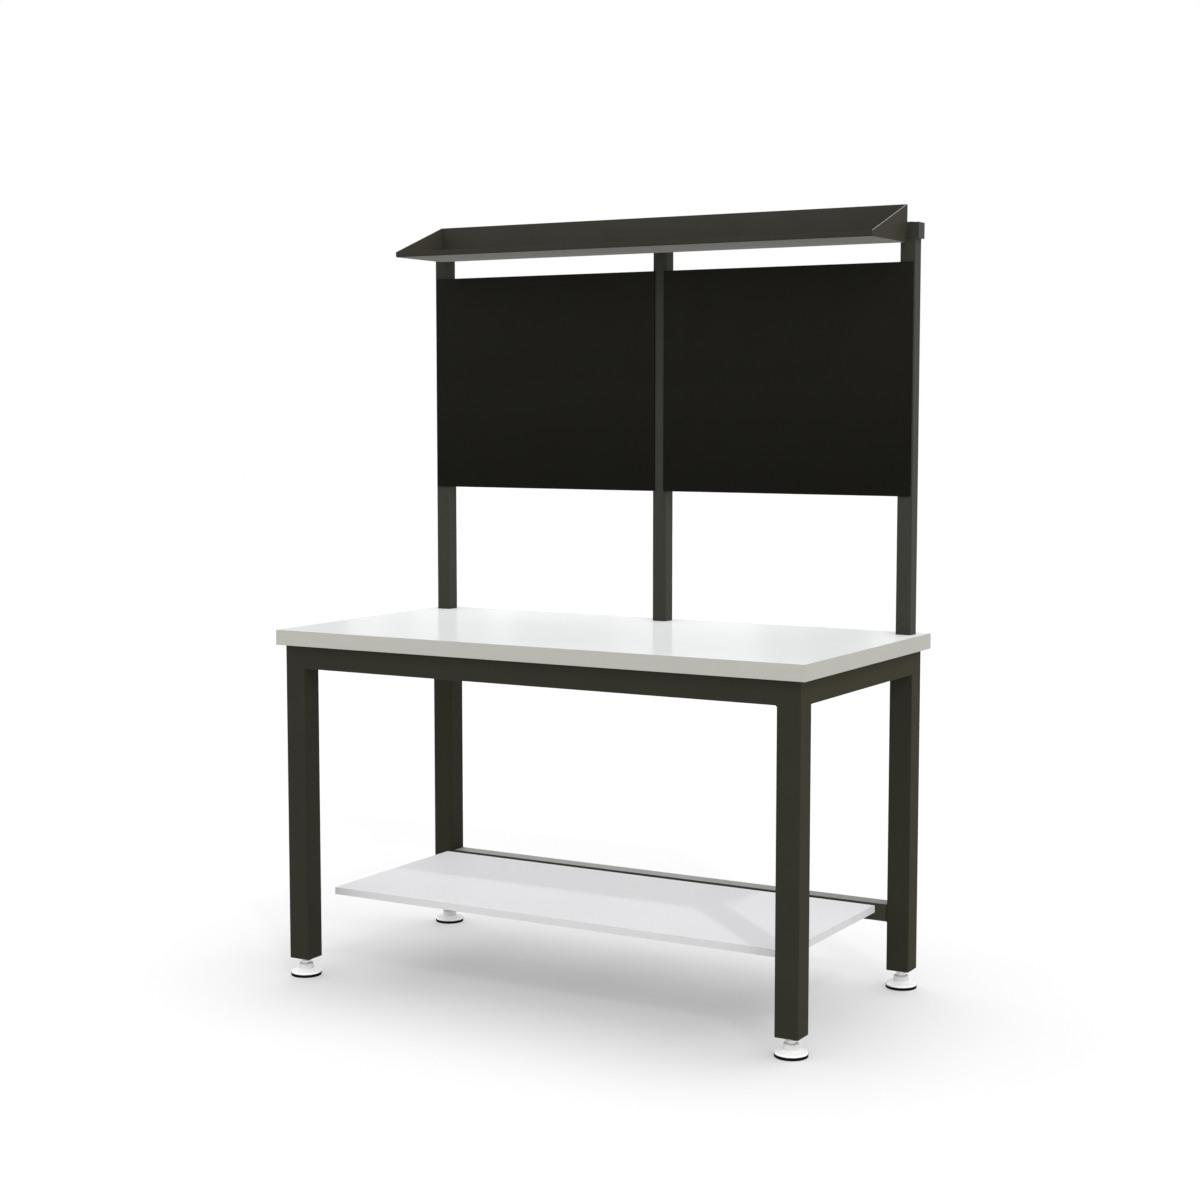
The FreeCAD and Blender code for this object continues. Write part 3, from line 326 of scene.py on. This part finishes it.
looks = {
    "frame_paint": powder_coat(
        "frame_paint", (0.0268, 0.0261, 0.0191), specular=0.0015, rough=0.36,
        sheen=0.105, sheen_rough=0.40, sheen_tint=(1.0, 0.79, 0.47),
    ),
    "upright_paint": powder_coat(
        "upright_paint", (0.0353, 0.0350, 0.0288), specular=0.004, rough=0.36,
        sheen=0.10, sheen_rough=0.47, sheen_tint=(1.0, 0.90, 0.80),
    ),
    # The panels are deeper low down and paler towards the top: painted shade and painted light by height.
    "panel_paint": powder_coat(
        "panel_paint", (0.0075, 0.0071, 0.0052), specular=0.04, rough=0.60, light_by_height=(1.30, 1.80, 0.45, 1.85),
    ),
    "cap_plastic": moulded_plastic("cap_plastic", (0.035, 0.033, 0.029), specular=0.12, rough=0.5),
    "worktop_laminate": laminate("worktop_laminate", (0.84, 0.85, 0.85), specular=0.0012, rough=0.16),
    "worktop_edge": edge_band("worktop_edge", (0.395, 0.392, 0.359), specular=0.06, rough=0.45),
    "worktop_board": chipboard("worktop_board", (0.42, 0.31, 0.19)),
    "worktop_backer": laminate("worktop_backer", (0.55, 0.53, 0.48), specular=0.3, rough=0.55),
    "shelf_board": laminate("shelf_board", (0.81, 0.81, 0.838), specular=0.004, rough=0.42),
    "shelf_edging": edge_band("shelf_edging", (0.58, 0.58, 0.585), specular=0.2, rough=0.45),
    # The hub is greyer than the pad: a painted shade.
    "pad_plastic": moulded_plastic(
        "pad_plastic", (0.93, 0.93, 0.92), specular=0.2, rough=0.38, hub=(0.0178, 0.0184),
    ),
    "sole_rubber": rubber("sole_rubber", (0.0035, 0.0035, 0.0035)),
    "plated_steel": zinc("plated_steel", (0.84, 0.84, 0.83)),
    "black_screws": powder_coat("black_screws", (0.012, 0.012, 0.012), specular=0.4, rough=0.38),
}
# Pieces with a coat of their own. The low rail between the rear legs has a paler copy of the frame's coat,
# painted light, with a strong sheen. The tray is paler up its back wall than on its lip: painted light and
# shade. Its end plates are paler inside, painted light, and their sloping cut edges palest, a painted
# highlight.
own_looks = {
    "rear_stringer": powder_coat(
        "stringer_paint", (0.0390, 0.0385, 0.0275), specular=0.06, rough=0.36,
        sheen=0.68, sheen_rough=0.35, sheen_tint=WHITE,
    ),
    "overhead_tray": powder_coat(
        "tray_paint", (0.0375, 0.0360, 0.0295), specular=0.0, rough=0.36,
        sheen=0.32, sheen_rough=0.30, sheen_tint=(1.0, 0.99, 0.92), light_by_height=(1.908, 1.935, 0.6, 1.5),
    ),
}
# End plates: a warmer, slightly deeper coat than the tray's, a painted shade, with painted light on the
# inner face and a painted highlight on faces that look up.
for side, inward in (("left", 1.0), ("right", -1.0)):
    own_looks["tray_end_" + side] = powder_coat(
        f"tray_end_{side}_paint", (0.0375, 0.0342, 0.0250), specular=0.012, rough=0.36,
        sheen=0.02, painted_edge_highlight=(0.45, 0.45, 0.43), inside=(inward, 0.0, 0.0),
    )
for row in frame["record"]["subparts"]:
    mesh = frame["nodes"][row["node"]].data
    mesh.materials.clear()
    mesh.materials.append(own_looks.get(row["node"], looks[row["material_slot"]]))


CORNERS = ("front_left", "front_right", "rear_left", "rear_right")
X_AXIS, Y_AXIS, Z_AXIS = range(3)
MM = 0.001
QUARTER_TURN = math.pi / 2

# Built mesh: the points round a turned ring, the angle in degrees from which an edge is sharp, the
# distances in millimetres within which points are joined or are in one place, and the least divisor.
COLUMNS = 48
COLUMN_ANGLES = [2 * math.pi * k / COLUMNS for k in range(COLUMNS)]
SHARP_ANGLE = 32.0
JOIN_THREAD = 0.002
JOIN_SOLID = 0.001
NEAR = 0.01
TINY = 1e-6

# Levelling screw, M16 with a 2 mm pitch, and its nut, in millimetres. The thread's profile gives the rise,
# as a share of the pitch, and the radius there. Turns: those below the thread's start, and all in excess.
THREAD_PITCH = 2.0
THREAD_CREST = 8.0
THREAD_ROOT = 6.77
THREAD_PROFILE = (
    (0.0, THREAD_ROOT), (5 / 16, THREAD_CREST), (7 / 16, THREAD_CREST), (12 / 16, THREAD_ROOT),
)
TURNS_BELOW = 2
TURNS_OVER = 3
SCREW_CHAMFER = 1.0
WRENCH_HEIGHT = 6.7
NUT_FLATS = 24.0
NUT_FACE = 0.95 * NUT_FLATS / 2
NUT_BORE = 8.05
BORE_CHAMFER = 0.7
CHAMFER_SLOPE = math.tan(math.radians(30))

# Plug over a bolt hole of the header bar, in millimetres: the radius, and the height over the bar.
PLUG_PROFILE = (
    (6.8, -6.0), (8.6, -6.0), (8.8, -3.2), (8.4, -2.2), (8.4, 0.0), (11.2, 0.0), (11.2, 0.6),
    (10.6, 1.3), (9.0, 1.9), (6.0, 2.3), (2.5, 2.5), (0.6, 2.5),
)

# Weld seams, in millimetres: tube corner radius, leg of a fillet bead, how deep it sinks into the corner,
# and length of one ripple. Steps are those round a corner, and along a ripple. As shares of the leg: its
# size between ripples, and what a ripple adds. As a share of the bead's face: how round it is.
TUBE_CORNER = 3.0
CORNER_STEPS = 6
CORNER_ANGLES = [QUARTER_TURN * step / CORNER_STEPS for step in range(CORNER_STEPS + 1)]
BEAD_LEG = 4.0
BEAD_SINK = 0.4
BEAD_RIPPLE = 2.4
BEAD_STEPS = 4
BEAD_LEAST = 0.88
BEAD_SWELL = 0.16
BEAD_ROUND = 0.45

# Pan-head screws. As shares of the head's radius and height: the head's outline from its seat up, and the
# size and level of the cross recess from its rim to its bottom. As shares of the shank's radius: the point.
HEAD_PROFILE = ((1.0, 0.0), (1.0, 0.35), (0.93, 0.62), (0.80, 0.83), (0.62, 0.96))
RECESS_PROFILE = ((1.0, 1.0), (0.55, 0.35))
RECESS_BOTTOM = (0.03, 0.25)
POINT_WIDTH = 0.15
POINT_LENGTH = 2.2

# Cross recess of a screw for a head of radius 1. Its corners lie on whole steps of the turned rings.
# Each screw is turned further than the one before.
RECESS_WIDTH = 0.14
RECESS_LENGTH = RECESS_WIDTH / math.tan(math.radians(15))
SCREW_TURN = math.radians(37)


def loft(build, rings, closed=False):
    """Skins a row of rings with equal counts of points. An open row gets a face at each end."""
    rows = [[build.verts.new(Vector(point) * MM) for point in ring] for ring in rings]
    neighbours = list(zip(rows, rows[1:]))
    if closed:
        neighbours.append((rows[-1], rows[0]))
    else:
        build.faces.new(rows[0])
        build.faces.new(rows[-1])
    count = len(rows[0])
    for first, second in neighbours:
        for k in range(count):
            after = (k + 1) % count
            build.faces.new((first[k], first[after], second[after], second[k]))


def polar(centre, reach, angle, level):
    """A point round an upright axis."""
    return (centre[0] + reach * math.cos(angle), centre[1] + reach * math.sin(angle), level)


def turned(centre, radius, height):
    """A ring about an upright axis. Radius and height are numbers or functions of the angle."""
    points = []
    for angle in COLUMN_ANGLES:
        reach = radius(angle) if callable(radius) else radius
        level = height(angle) if callable(height) else height
        points.append(polar(centre, reach, angle, level))
    return points


def hexagon(angle):
    """Distance from a nut's axis to its side, at an angle."""
    sixth = math.pi / 3
    return NUT_FLATS / 2 / math.cos((angle + sixth / 2) % sixth - sixth / 2)


def hexagon_rings(centre, low, high):
    """The outside of a hexagon from low to high, with turned chamfers at both ends."""
    return [
        turned(centre, NUT_FACE, low),
        turned(centre, hexagon, lambda angle: low + (hexagon(angle) - NUT_FACE) * CHAMFER_SLOPE),
        turned(centre, hexagon, lambda angle: high - (hexagon(angle) - NUT_FACE) * CHAMFER_SLOPE),
        turned(centre, NUT_FACE, high),
    ]


def made_object(name, build, *materials):
    """Turns built mesh into an object of the scene."""
    mesh = bpy.data.meshes.new(name)
    build.to_mesh(mesh)
    build.free()
    for material in materials:
        mesh.materials.append(material)
    made = bpy.data.objects.new(name, mesh)
    scene.collection.objects.link(made)
    return made


def finish_piece(name, build, slot, body="bench", replaced=()):
    """Turns built mesh into a piece with its slot's material, riding on a body."""
    bmesh.ops.recalc_face_normals(build, faces=build.faces)
    made = made_object(name, build, looks[slot])
    made.data.polygons.foreach_set("use_smooth", [True] * len(made.data.polygons))
    made.data.set_sharp_from_angle(angle=math.radians(SHARP_ANGLE))
    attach(made, body)
    if replaced:
        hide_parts(*replaced)


def add_thread(build, centre, low, high):
    """A right-hand thread from low to high: a strip of root, flank and crest that climbs one pitch a turn.
    It is cut off level at low, and runs out in a chamfer at high."""
    turns = math.ceil((high - low) / THREAD_PITCH) + TURNS_OVER
    rows = []
    for turn in range(turns):
        for rise, radius in THREAD_PROFILE:
            row = []
            for k, angle in enumerate(COLUMN_ANGLES):
                level = low + THREAD_PITCH * (turn - TURNS_BELOW + rise + k / COLUMNS)
                reach = min(radius, THREAD_ROOT + max(0.0, high - level))
                if level <= low or level >= high:
                    level, reach = (low if level <= low else high), THREAD_ROOT
                row.append(build.verts.new(Vector(polar(centre, reach, angle, level)) * MM))
            rows.append(row)
    step = len(THREAD_PROFILE)
    for m in range(len(rows) - 1 - step):
        for k in range(COLUMNS):
            wraps = k + 1 == COLUMNS
            after = 0 if wraps else k + 1
            near = rows[m + step] if wraps else rows[m]
            far = rows[m + 1 + step] if wraps else rows[m + 1]
            build.faces.new((rows[m][k], near[after], far[after], rows[m + 1][k]))


def make_foot_screw(corner):
    """A levelling screw: plain end in the pad, wrench hexagon, and a helical thread up into the leg."""
    low, high = (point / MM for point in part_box("foot_stud_" + corner))
    centre = (low + high) / 2
    hub_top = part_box("foot_pad_" + corner)[1].z / MM
    hex_top = hub_top + WRENCH_HEIGHT
    build = bmesh.new()
    loft(build, [
        turned(centre, THREAD_CREST - SCREW_CHAMFER, low.z),
        turned(centre, THREAD_CREST, low.z + SCREW_CHAMFER),
        turned(centre, THREAD_CREST, hub_top),
        turned(centre, hexagon, hub_top),
        *hexagon_rings(centre, hub_top, hex_top)[2:],
        turned(centre, THREAD_ROOT, hex_top),
    ])
    add_thread(build, centre, hex_top, high.z)
    build.faces.new([build.verts.new(Vector(point) * MM) for point in turned(centre, THREAD_ROOT, high.z)])
    bmesh.ops.remove_doubles(build, verts=build.verts, dist=JOIN_THREAD * MM)
    # The face that closed the hexagon lies inside the screw, under the thread.
    inner = [
        face for face in build.faces
        if len(face.verts) == COLUMNS and abs(face.calc_center_median().z - hex_top * MM) < NEAR * MM
    ]
    bmesh.ops.delete(build, geom=inner, context="FACES_ONLY")
    finish_piece("foot_screw_" + corner, build, "plated_steel", "stud_" + corner, ["foot_stud_" + corner])


def make_lock_nuts():
    """Chamfered hexagon nuts under the four legs."""
    build = bmesh.new()
    low, high = (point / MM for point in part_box("lock_nuts"))
    for corner in CORNERS:
        centre = sum((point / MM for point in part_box("foot_stud_" + corner)), Vector()) / 2
        loft(build, [
            *hexagon_rings(centre, low.z, high.z),
            turned(centre, NUT_BORE + BORE_CHAMFER, high.z),
            turned(centre, NUT_BORE, high.z - BORE_CHAMFER),
            turned(centre, NUT_BORE, low.z + BORE_CHAMFER),
            turned(centre, NUT_BORE + BORE_CHAMFER, low.z),
        ], closed=True)
    finish_piece("foot_lock_nuts", build, "plated_steel", replaced=["lock_nuts"])


def make_header_plugs():
    """Snap-in plugs with domed flanges over the three bolt holes in the header bar."""
    build = bmesh.new()
    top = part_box("header_bar")[1].z / MM
    for name in ("upright_left", "upright_centre", "upright_right"):
        centre = sum((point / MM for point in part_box(name)), Vector()) / 2
        loft(build, [turned(centre, radius, top + rise) for radius, rise in PLUG_PROFILE])
    finish_piece("header_hole_plugs", build, "cap_plastic")


def add_fill(build, along, joint, face, to_leg, inward, low, high):
    """Fills the groove at a butt joint flush with a tube face: the space left by the leg's rounded corner.
    along is the apron's axis; to_leg and inward are signs."""
    middle, inner = joint + to_leg * TUBE_CORNER, face + inward * TUBE_CORNER
    plan = [(joint, face)]
    for angle in CORNER_ANGLES:
        length = middle - to_leg * TUBE_CORNER * math.sin(angle)
        across = inner - inward * TUBE_CORNER * math.cos(angle)
        plan.append((length, across))
    if along == Y_AXIS:
        plan = [(across, length) for length, across in plan]
    loft(build, [[(x, y, level) for x, y in plan] for level in (low, high)])


def add_bead(build, path):
    """A rippled fillet weld along a path of (corner point, first direction, second direction)."""
    rings = []
    for index, (corner, one, two) in enumerate(path):
        leg = BEAD_LEG * (BEAD_LEAST + BEAD_SWELL * abs(math.sin(math.pi * index / BEAD_STEPS)))
        ring = [corner - BEAD_SINK * (one + two)]
        for angle in CORNER_ANGLES:
            flat = 1 / (math.cos(angle) + math.sin(angle))
            reach = leg * ((1 - BEAD_ROUND) * flat + BEAD_ROUND)
            ring.append(corner + reach * (math.cos(angle) * one + math.sin(angle) * two))
        rings.append(ring)
    loft(build, rings)


def bead_line(start, end, one, two):
    """Path of a straight bead, with a ring at each part of a ripple."""
    count = round((end - start).length / BEAD_RIPPLE * BEAD_STEPS)
    return [(start.lerp(end, index / count), one, two) for index in range(count + 1)]


def make_welds():
    """Frame welds: joints ground flush on the tube faces, and fillet beads under the aprons and round
    the stringer."""
    build = bmesh.new()
    filled = set()
    for apron, along, across in (
        ("apron_front", X_AXIS, Y_AXIS), ("apron_rear", X_AXIS, Y_AXIS),
        ("apron_left", Y_AXIS, X_AXIS), ("apron_right", Y_AXIS, X_AXIS),
    ):
        low, high = (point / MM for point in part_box(apron))
        for joint, to_leg in ((low[along], -1), (high[along], 1)):
            for face, inward in ((low[across], 1), (high[across], -1)):
                spot = (round(face), round(joint)) if along == Y_AXIS else (round(joint), round(face))
                if spot not in filled:
                    filled.add(spot)
                    add_fill(build, along, joint, face, to_leg, inward, low.z, high.z)
            start, end = Vector((0, 0, low.z)), Vector((0, 0, low.z))
            start[along] = end[along] = joint
            start[across], end[across] = low[across] + TUBE_CORNER, high[across] - TUBE_CORNER
            outward = Vector((0, 0, 0))
            outward[along] = -to_leg
            add_bead(build, bead_line(start, end, outward, Vector((0, 0, -1))))
    low, high = (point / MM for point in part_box("rear_stringer"))
    for joint, to_leg in ((low.x, -1), (high.x, 1)):
        outward = Vector((-to_leg, 0, 0))
        for normal in (Vector((0, -1, 0)), Vector((0, 1, 0)), Vector((0, 0, -1)), Vector((0, 0, 1))):
            depth, across = (Y_AXIS, Z_AXIS) if normal.y else (Z_AXIS, Y_AXIS)
            start = Vector((joint, (low.y + high.y) / 2, (low.z + high.z) / 2))
            start[depth] = high[depth] if normal[depth] > 0 else low[depth]
            end = start.copy()
            start[across], end[across] = low[across] + TUBE_CORNER, high[across] - TUBE_CORNER
            add_bead(build, bead_line(start, end, outward, normal))
    finish_piece("frame_welds", build, "frame_paint")


def solids_of(node):
    """Points of each separate solid of a node, in millimetres."""
    build = bmesh.new()
    build.from_mesh(frame["nodes"][node].data)
    bmesh.ops.remove_doubles(build, verts=build.verts, dist=JOIN_SOLID * MM)
    left = set(build.verts)
    solids = []
    for vertex in build.verts:
        if vertex not in left:
            continue
        left.discard(vertex)
        found, waiting = [], [vertex]
        while waiting:
            here = waiting.pop()
            found.append(here.co / MM)
            near = {edge.other_vert(here) for edge in here.link_edges} & left
            left -= near
            waiting.extend(near)
        solids.append(found)
    build.free()
    return solids


def recess(angle):
    """Distance from a screw's axis to the side of its cross recess, at an angle, for a head of radius 1."""
    lesser, greater = sorted((abs(math.cos(angle)), abs(math.sin(angle))))
    return min(RECESS_LENGTH / greater, RECESS_WIDTH / max(lesser, TINY))


def screw_rings(head, head_height, shank, length):
    """The skin of a screw that points down, from its point to its recess. Its head's seat is at 0."""
    profile = [(POINT_WIDTH * shank, -length), (shank, POINT_LENGTH * shank - length), (shank, 0.0)]
    profile += [(share * head, rise * head_height) for share, rise in HEAD_PROFILE]
    axis = (0.0, 0.0)
    rings = [turned(axis, radius, level) for radius, level in profile]
    for share, rise in RECESS_PROFILE:
        rings.append(turned(axis, lambda angle: share * head * recess(angle), rise * head_height))
    share, rise = RECESS_BOTTOM
    rings.append(turned(axis, share * head, rise * head_height))
    return rings


def make_screws(name, node, slot, axis, head_height, shank):
    """Pan-head screws with a cross recess in place of a node's plain ones, which lie along an axis.
    The head is at the wider end."""
    build = bmesh.new()
    for index, points in enumerate(solids_of(node)):
        low, high = (
            Vector([pick(point[part] for point in points) for part in range(3)]) for pick in (min, max)
        )
        centre = (low + high) / 2
        aside = (axis + 1) % 3
        width = {}
        for way, end in ((-1, low[axis]), (1, high[axis])):
            last = [point for point in points if (point[axis] - end) * way > -NEAR]
            width[way] = max(abs(point[aside] - centre[aside]) for point in last)
        way = max(width, key=width.get)
        length = high[axis] - low[axis] - head_height
        seat = centre.copy()
        seat[axis] = (high[axis] if way > 0 else low[axis]) - way * head_height
        facing = Vector((0, 0, 0))
        facing[axis] = way
        turn = Matrix.Rotation(SCREW_TURN * index, 4, "Z")
        pose = Matrix.Translation(seat) @ facing.to_track_quat("Z", "Y").to_matrix().to_4x4() @ turn
        rings = screw_rings(width[way], head_height, shank, length)
        loft(build, [[pose @ Vector(point) for point in ring] for ring in rings])
    finish_piece(name, build, slot, replaced=[node])


def bare_tree(owner):
    """The emptied node tree of a material or a world."""
    owner.use_nodes = True
    owner.node_tree.nodes.clear()
    return owner.node_tree


def floor_material(name, strength):
    """Matt grey with a plain glow of its own."""
    material = bpy.data.materials.new(name)
    tree = bare_tree(material)
    matt = tree.nodes.new("ShaderNodeBsdfDiffuse")
    matt.inputs["Color"].default_value = FLOOR_COLOUR
    glow = tree.nodes.new("ShaderNodeEmission")
    glow.inputs["Strength"].default_value = strength
    both = tree.nodes.new("ShaderNodeAddShader")
    out = tree.nodes.new("ShaderNodeOutputMaterial")
    tree.links.new(matt.outputs["BSDF"], both.inputs[0])
    tree.links.new(glow.outputs["Emission"], both.inputs[1])
    tree.links.new(both.outputs["Shader"], out.inputs["Surface"])
    return material


def make_floor():
    """A round floor that keeps the soft shadow and fades into the white room. Each quarter goes down with
    the foot on it, as the floor does under a bench that its feet raise, and has risers below its edges."""
    materials = [floor_material("studio_floor", FLOOR_GLOW), floor_material("studio_riser", RISER_GLOW)]
    quarters = []
    for corner in CORNERS:
        low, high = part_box("foot_sole_" + corner)
        middle = (low + high) / 2
        first = math.floor(math.atan2(middle.y, middle.x) / QUARTER_TURN) * QUARTER_TURN
        turns = [first + QUARTER_TURN * k / FLOOR_SEGMENTS for k in range(FLOOR_SEGMENTS + 1)]
        arc = [FLOOR_REACH * Vector((math.cos(turn), math.sin(turn), 0.0)) for turn in turns]
        outline = [Vector(), *arc]
        build = bmesh.new()
        top, foot = (
            [build.verts.new((*point.xy, level)) for point in outline] for level in (0.0, -RISER_DEPTH)
        )
        build.faces.new(top)
        for k in range(len(outline)):
            build.faces.new((top[k - 1], top[k], foot[k], foot[k - 1])).material_index = 1
        quarter = made_object("studio_floor", build, *materials)
        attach(quarter, "foot_" + corner)
        quarters.append(quarter)
    return quarters


def seen_directly(tree):
    """1 for camera, glossy and transmission rays, and 0 for the rays that gather light."""
    path = tree.nodes.new("ShaderNodeLightPath")
    total = path.outputs["Is Camera Ray"]
    for name in ("Is Glossy Ray", "Is Transmission Ray"):
        joined = tree.nodes.new("ShaderNodeMath")
        joined.operation = "MAXIMUM"
        tree.links.new(total, joined.inputs[0])
        tree.links.new(path.outputs[name], joined.inputs[1])
        total = joined.outputs["Value"]
    return total


def make_room():
    """The world: white where it is seen, and a soft band of light round the sides where it lights."""
    world = bpy.data.worlds.new("studio")
    scene.world = world
    tree = bare_tree(world)
    place = tree.nodes.new("ShaderNodeTexCoord")
    parts = tree.nodes.new("ShaderNodeSeparateXYZ")
    light_by_height = tree.nodes.new("ShaderNodeMapRange")
    light_by_height.interpolation_type = "SMOOTHSTEP"
    start, end = (math.sin(math.radians(angle)) for angle in ROOM_DIMS)
    light_by_height.inputs["From Min"].default_value = start
    light_by_height.inputs["From Max"].default_value = end
    light_by_height.inputs["To Min"].default_value = ROOM_SIDE
    light_by_height.inputs["To Max"].default_value = ROOM_TOP
    light = tree.nodes.new("ShaderNodeBackground")
    white = tree.nodes.new("ShaderNodeBackground")
    light.inputs["Color"].default_value = (*WHITE, 1.0)
    white.inputs["Color"].default_value = (*WHITE, 1.0)
    white.inputs["Strength"].default_value = 1.0
    either = tree.nodes.new("ShaderNodeMixShader")
    out = tree.nodes.new("ShaderNodeOutputWorld")
    tree.links.new(place.outputs["Generated"], parts.inputs["Vector"])
    tree.links.new(parts.outputs["Z"], light_by_height.inputs["Value"])
    tree.links.new(light_by_height.outputs["Result"], light.inputs["Strength"])
    tree.links.new(seen_directly(tree), either.inputs["Fac"])
    tree.links.new(light.outputs["Background"], either.inputs[1])
    tree.links.new(white.outputs["Background"], either.inputs[2])
    tree.links.new(either.outputs["Shader"], out.inputs["Surface"])


def made_sun(name, strength, spread):
    """A far lamp overhead, with its spread in degrees."""
    lamp = bpy.data.lights.new(name, "SUN")
    lamp.energy = strength
    lamp.angle = math.radians(spread)
    sun = bpy.data.objects.new(name, lamp)
    scene.collection.objects.link(sun)
    return sun


def make_key():
    key = made_sun("key", KEY_STRENGTH, KEY_SOFTNESS)
    key.rotation_euler = Vector(KEY_FROM).to_track_quat("Z", "Y").to_euler()


def make_floor_lamp(quarters):
    """A wide overhead lamp that lights the floor alone and shines past the low shelf, so the bench throws
    one broad soft shadow, from its worktop."""
    overhead = made_sun("floor_lamp", FLOOR_LAMP, FLOOR_LAMP_SPREAD)
    overhead.rotation_euler.x = -math.radians(FLOOR_LAMP_TILT)
    lit = bpy.data.collections.new("lit_by_floor_lamp")
    for quarter in quarters:
        lit.objects.link(quarter)
    overhead.light_linking.receiver_collection = lit
    passed = bpy.data.collections.new("passed_by_floor_lamp")
    for name in LOW_SHELF:
        passed.objects.link(frame["nodes"][name])
    for item in passed.collection_objects:
        item.light_linking.link_state = "EXCLUDE"
    overhead.light_linking.blocker_collection = passed


def make_cards():
    """Upright cards far behind the bench, seen by glossy rays alone, that band the worktop's shine."""
    for bearing, width, brightness in CARDS:
        build = bmesh.new()
        rim = []
        for turn, height in ((-1, 0.0), (1, 0.0), (1, CARD_HEIGHT), (-1, CARD_HEIGHT)):
            angle = math.radians(bearing + turn * width / 2)
            x = CAMERA_PLACE[0] - math.sin(angle) * CARD_DISTANCE
            y = CAMERA_PLACE[1] + math.cos(angle) * CARD_DISTANCE
            rim.append(build.verts.new((x, y, height)))
        build.faces.new(rim)
        material = bpy.data.materials.new("studio_card")
        tree = bare_tree(material)
        glow = tree.nodes.new("ShaderNodeEmission")
        glow.inputs["Strength"].default_value = brightness
        out = tree.nodes.new("ShaderNodeOutputMaterial")
        tree.links.new(glow.outputs["Emission"], out.inputs["Surface"])
        card = made_object("studio_card", build, material)
        card.visible_camera = card.visible_diffuse = card.visible_shadow = False
        card.visible_transmission = card.visible_volume_scatter = False


def make_camera():
    lens = bpy.data.cameras.new("camera")
    lens.lens = CAMERA_LENS
    lens.sensor_width = CAMERA_SENSOR
    lens.clip_end = CAMERA_SIGHT
    camera = bpy.data.objects.new("camera", lens)
    camera.location = CAMERA_PLACE
    camera.rotation_euler = (math.radians(CAMERA_TILT), 0.0, math.radians(CAMERA_TURN))
    scene.collection.objects.link(camera)
    scene.camera = camera


for corner in CORNERS:
    make_foot_screw(corner)
make_lock_nuts()
make_header_plugs()
make_welds()
make_screws("worktop_wood_screws", "worktop_screws", "plated_steel", Z_AXIS, head_height=2.5, shank=2.5)
make_screws("shelf_wood_screws", "shelf_screws", "plated_steel", Z_AXIS, head_height=2.5, shank=2.0)
make_screws("clip_tapping_screws", "clip_screws", "black_screws", X_AXIS, head_height=3.0, shank=2.4)
make_floor_lamp(make_floor())
make_room()
make_key()
make_cards()
make_camera()
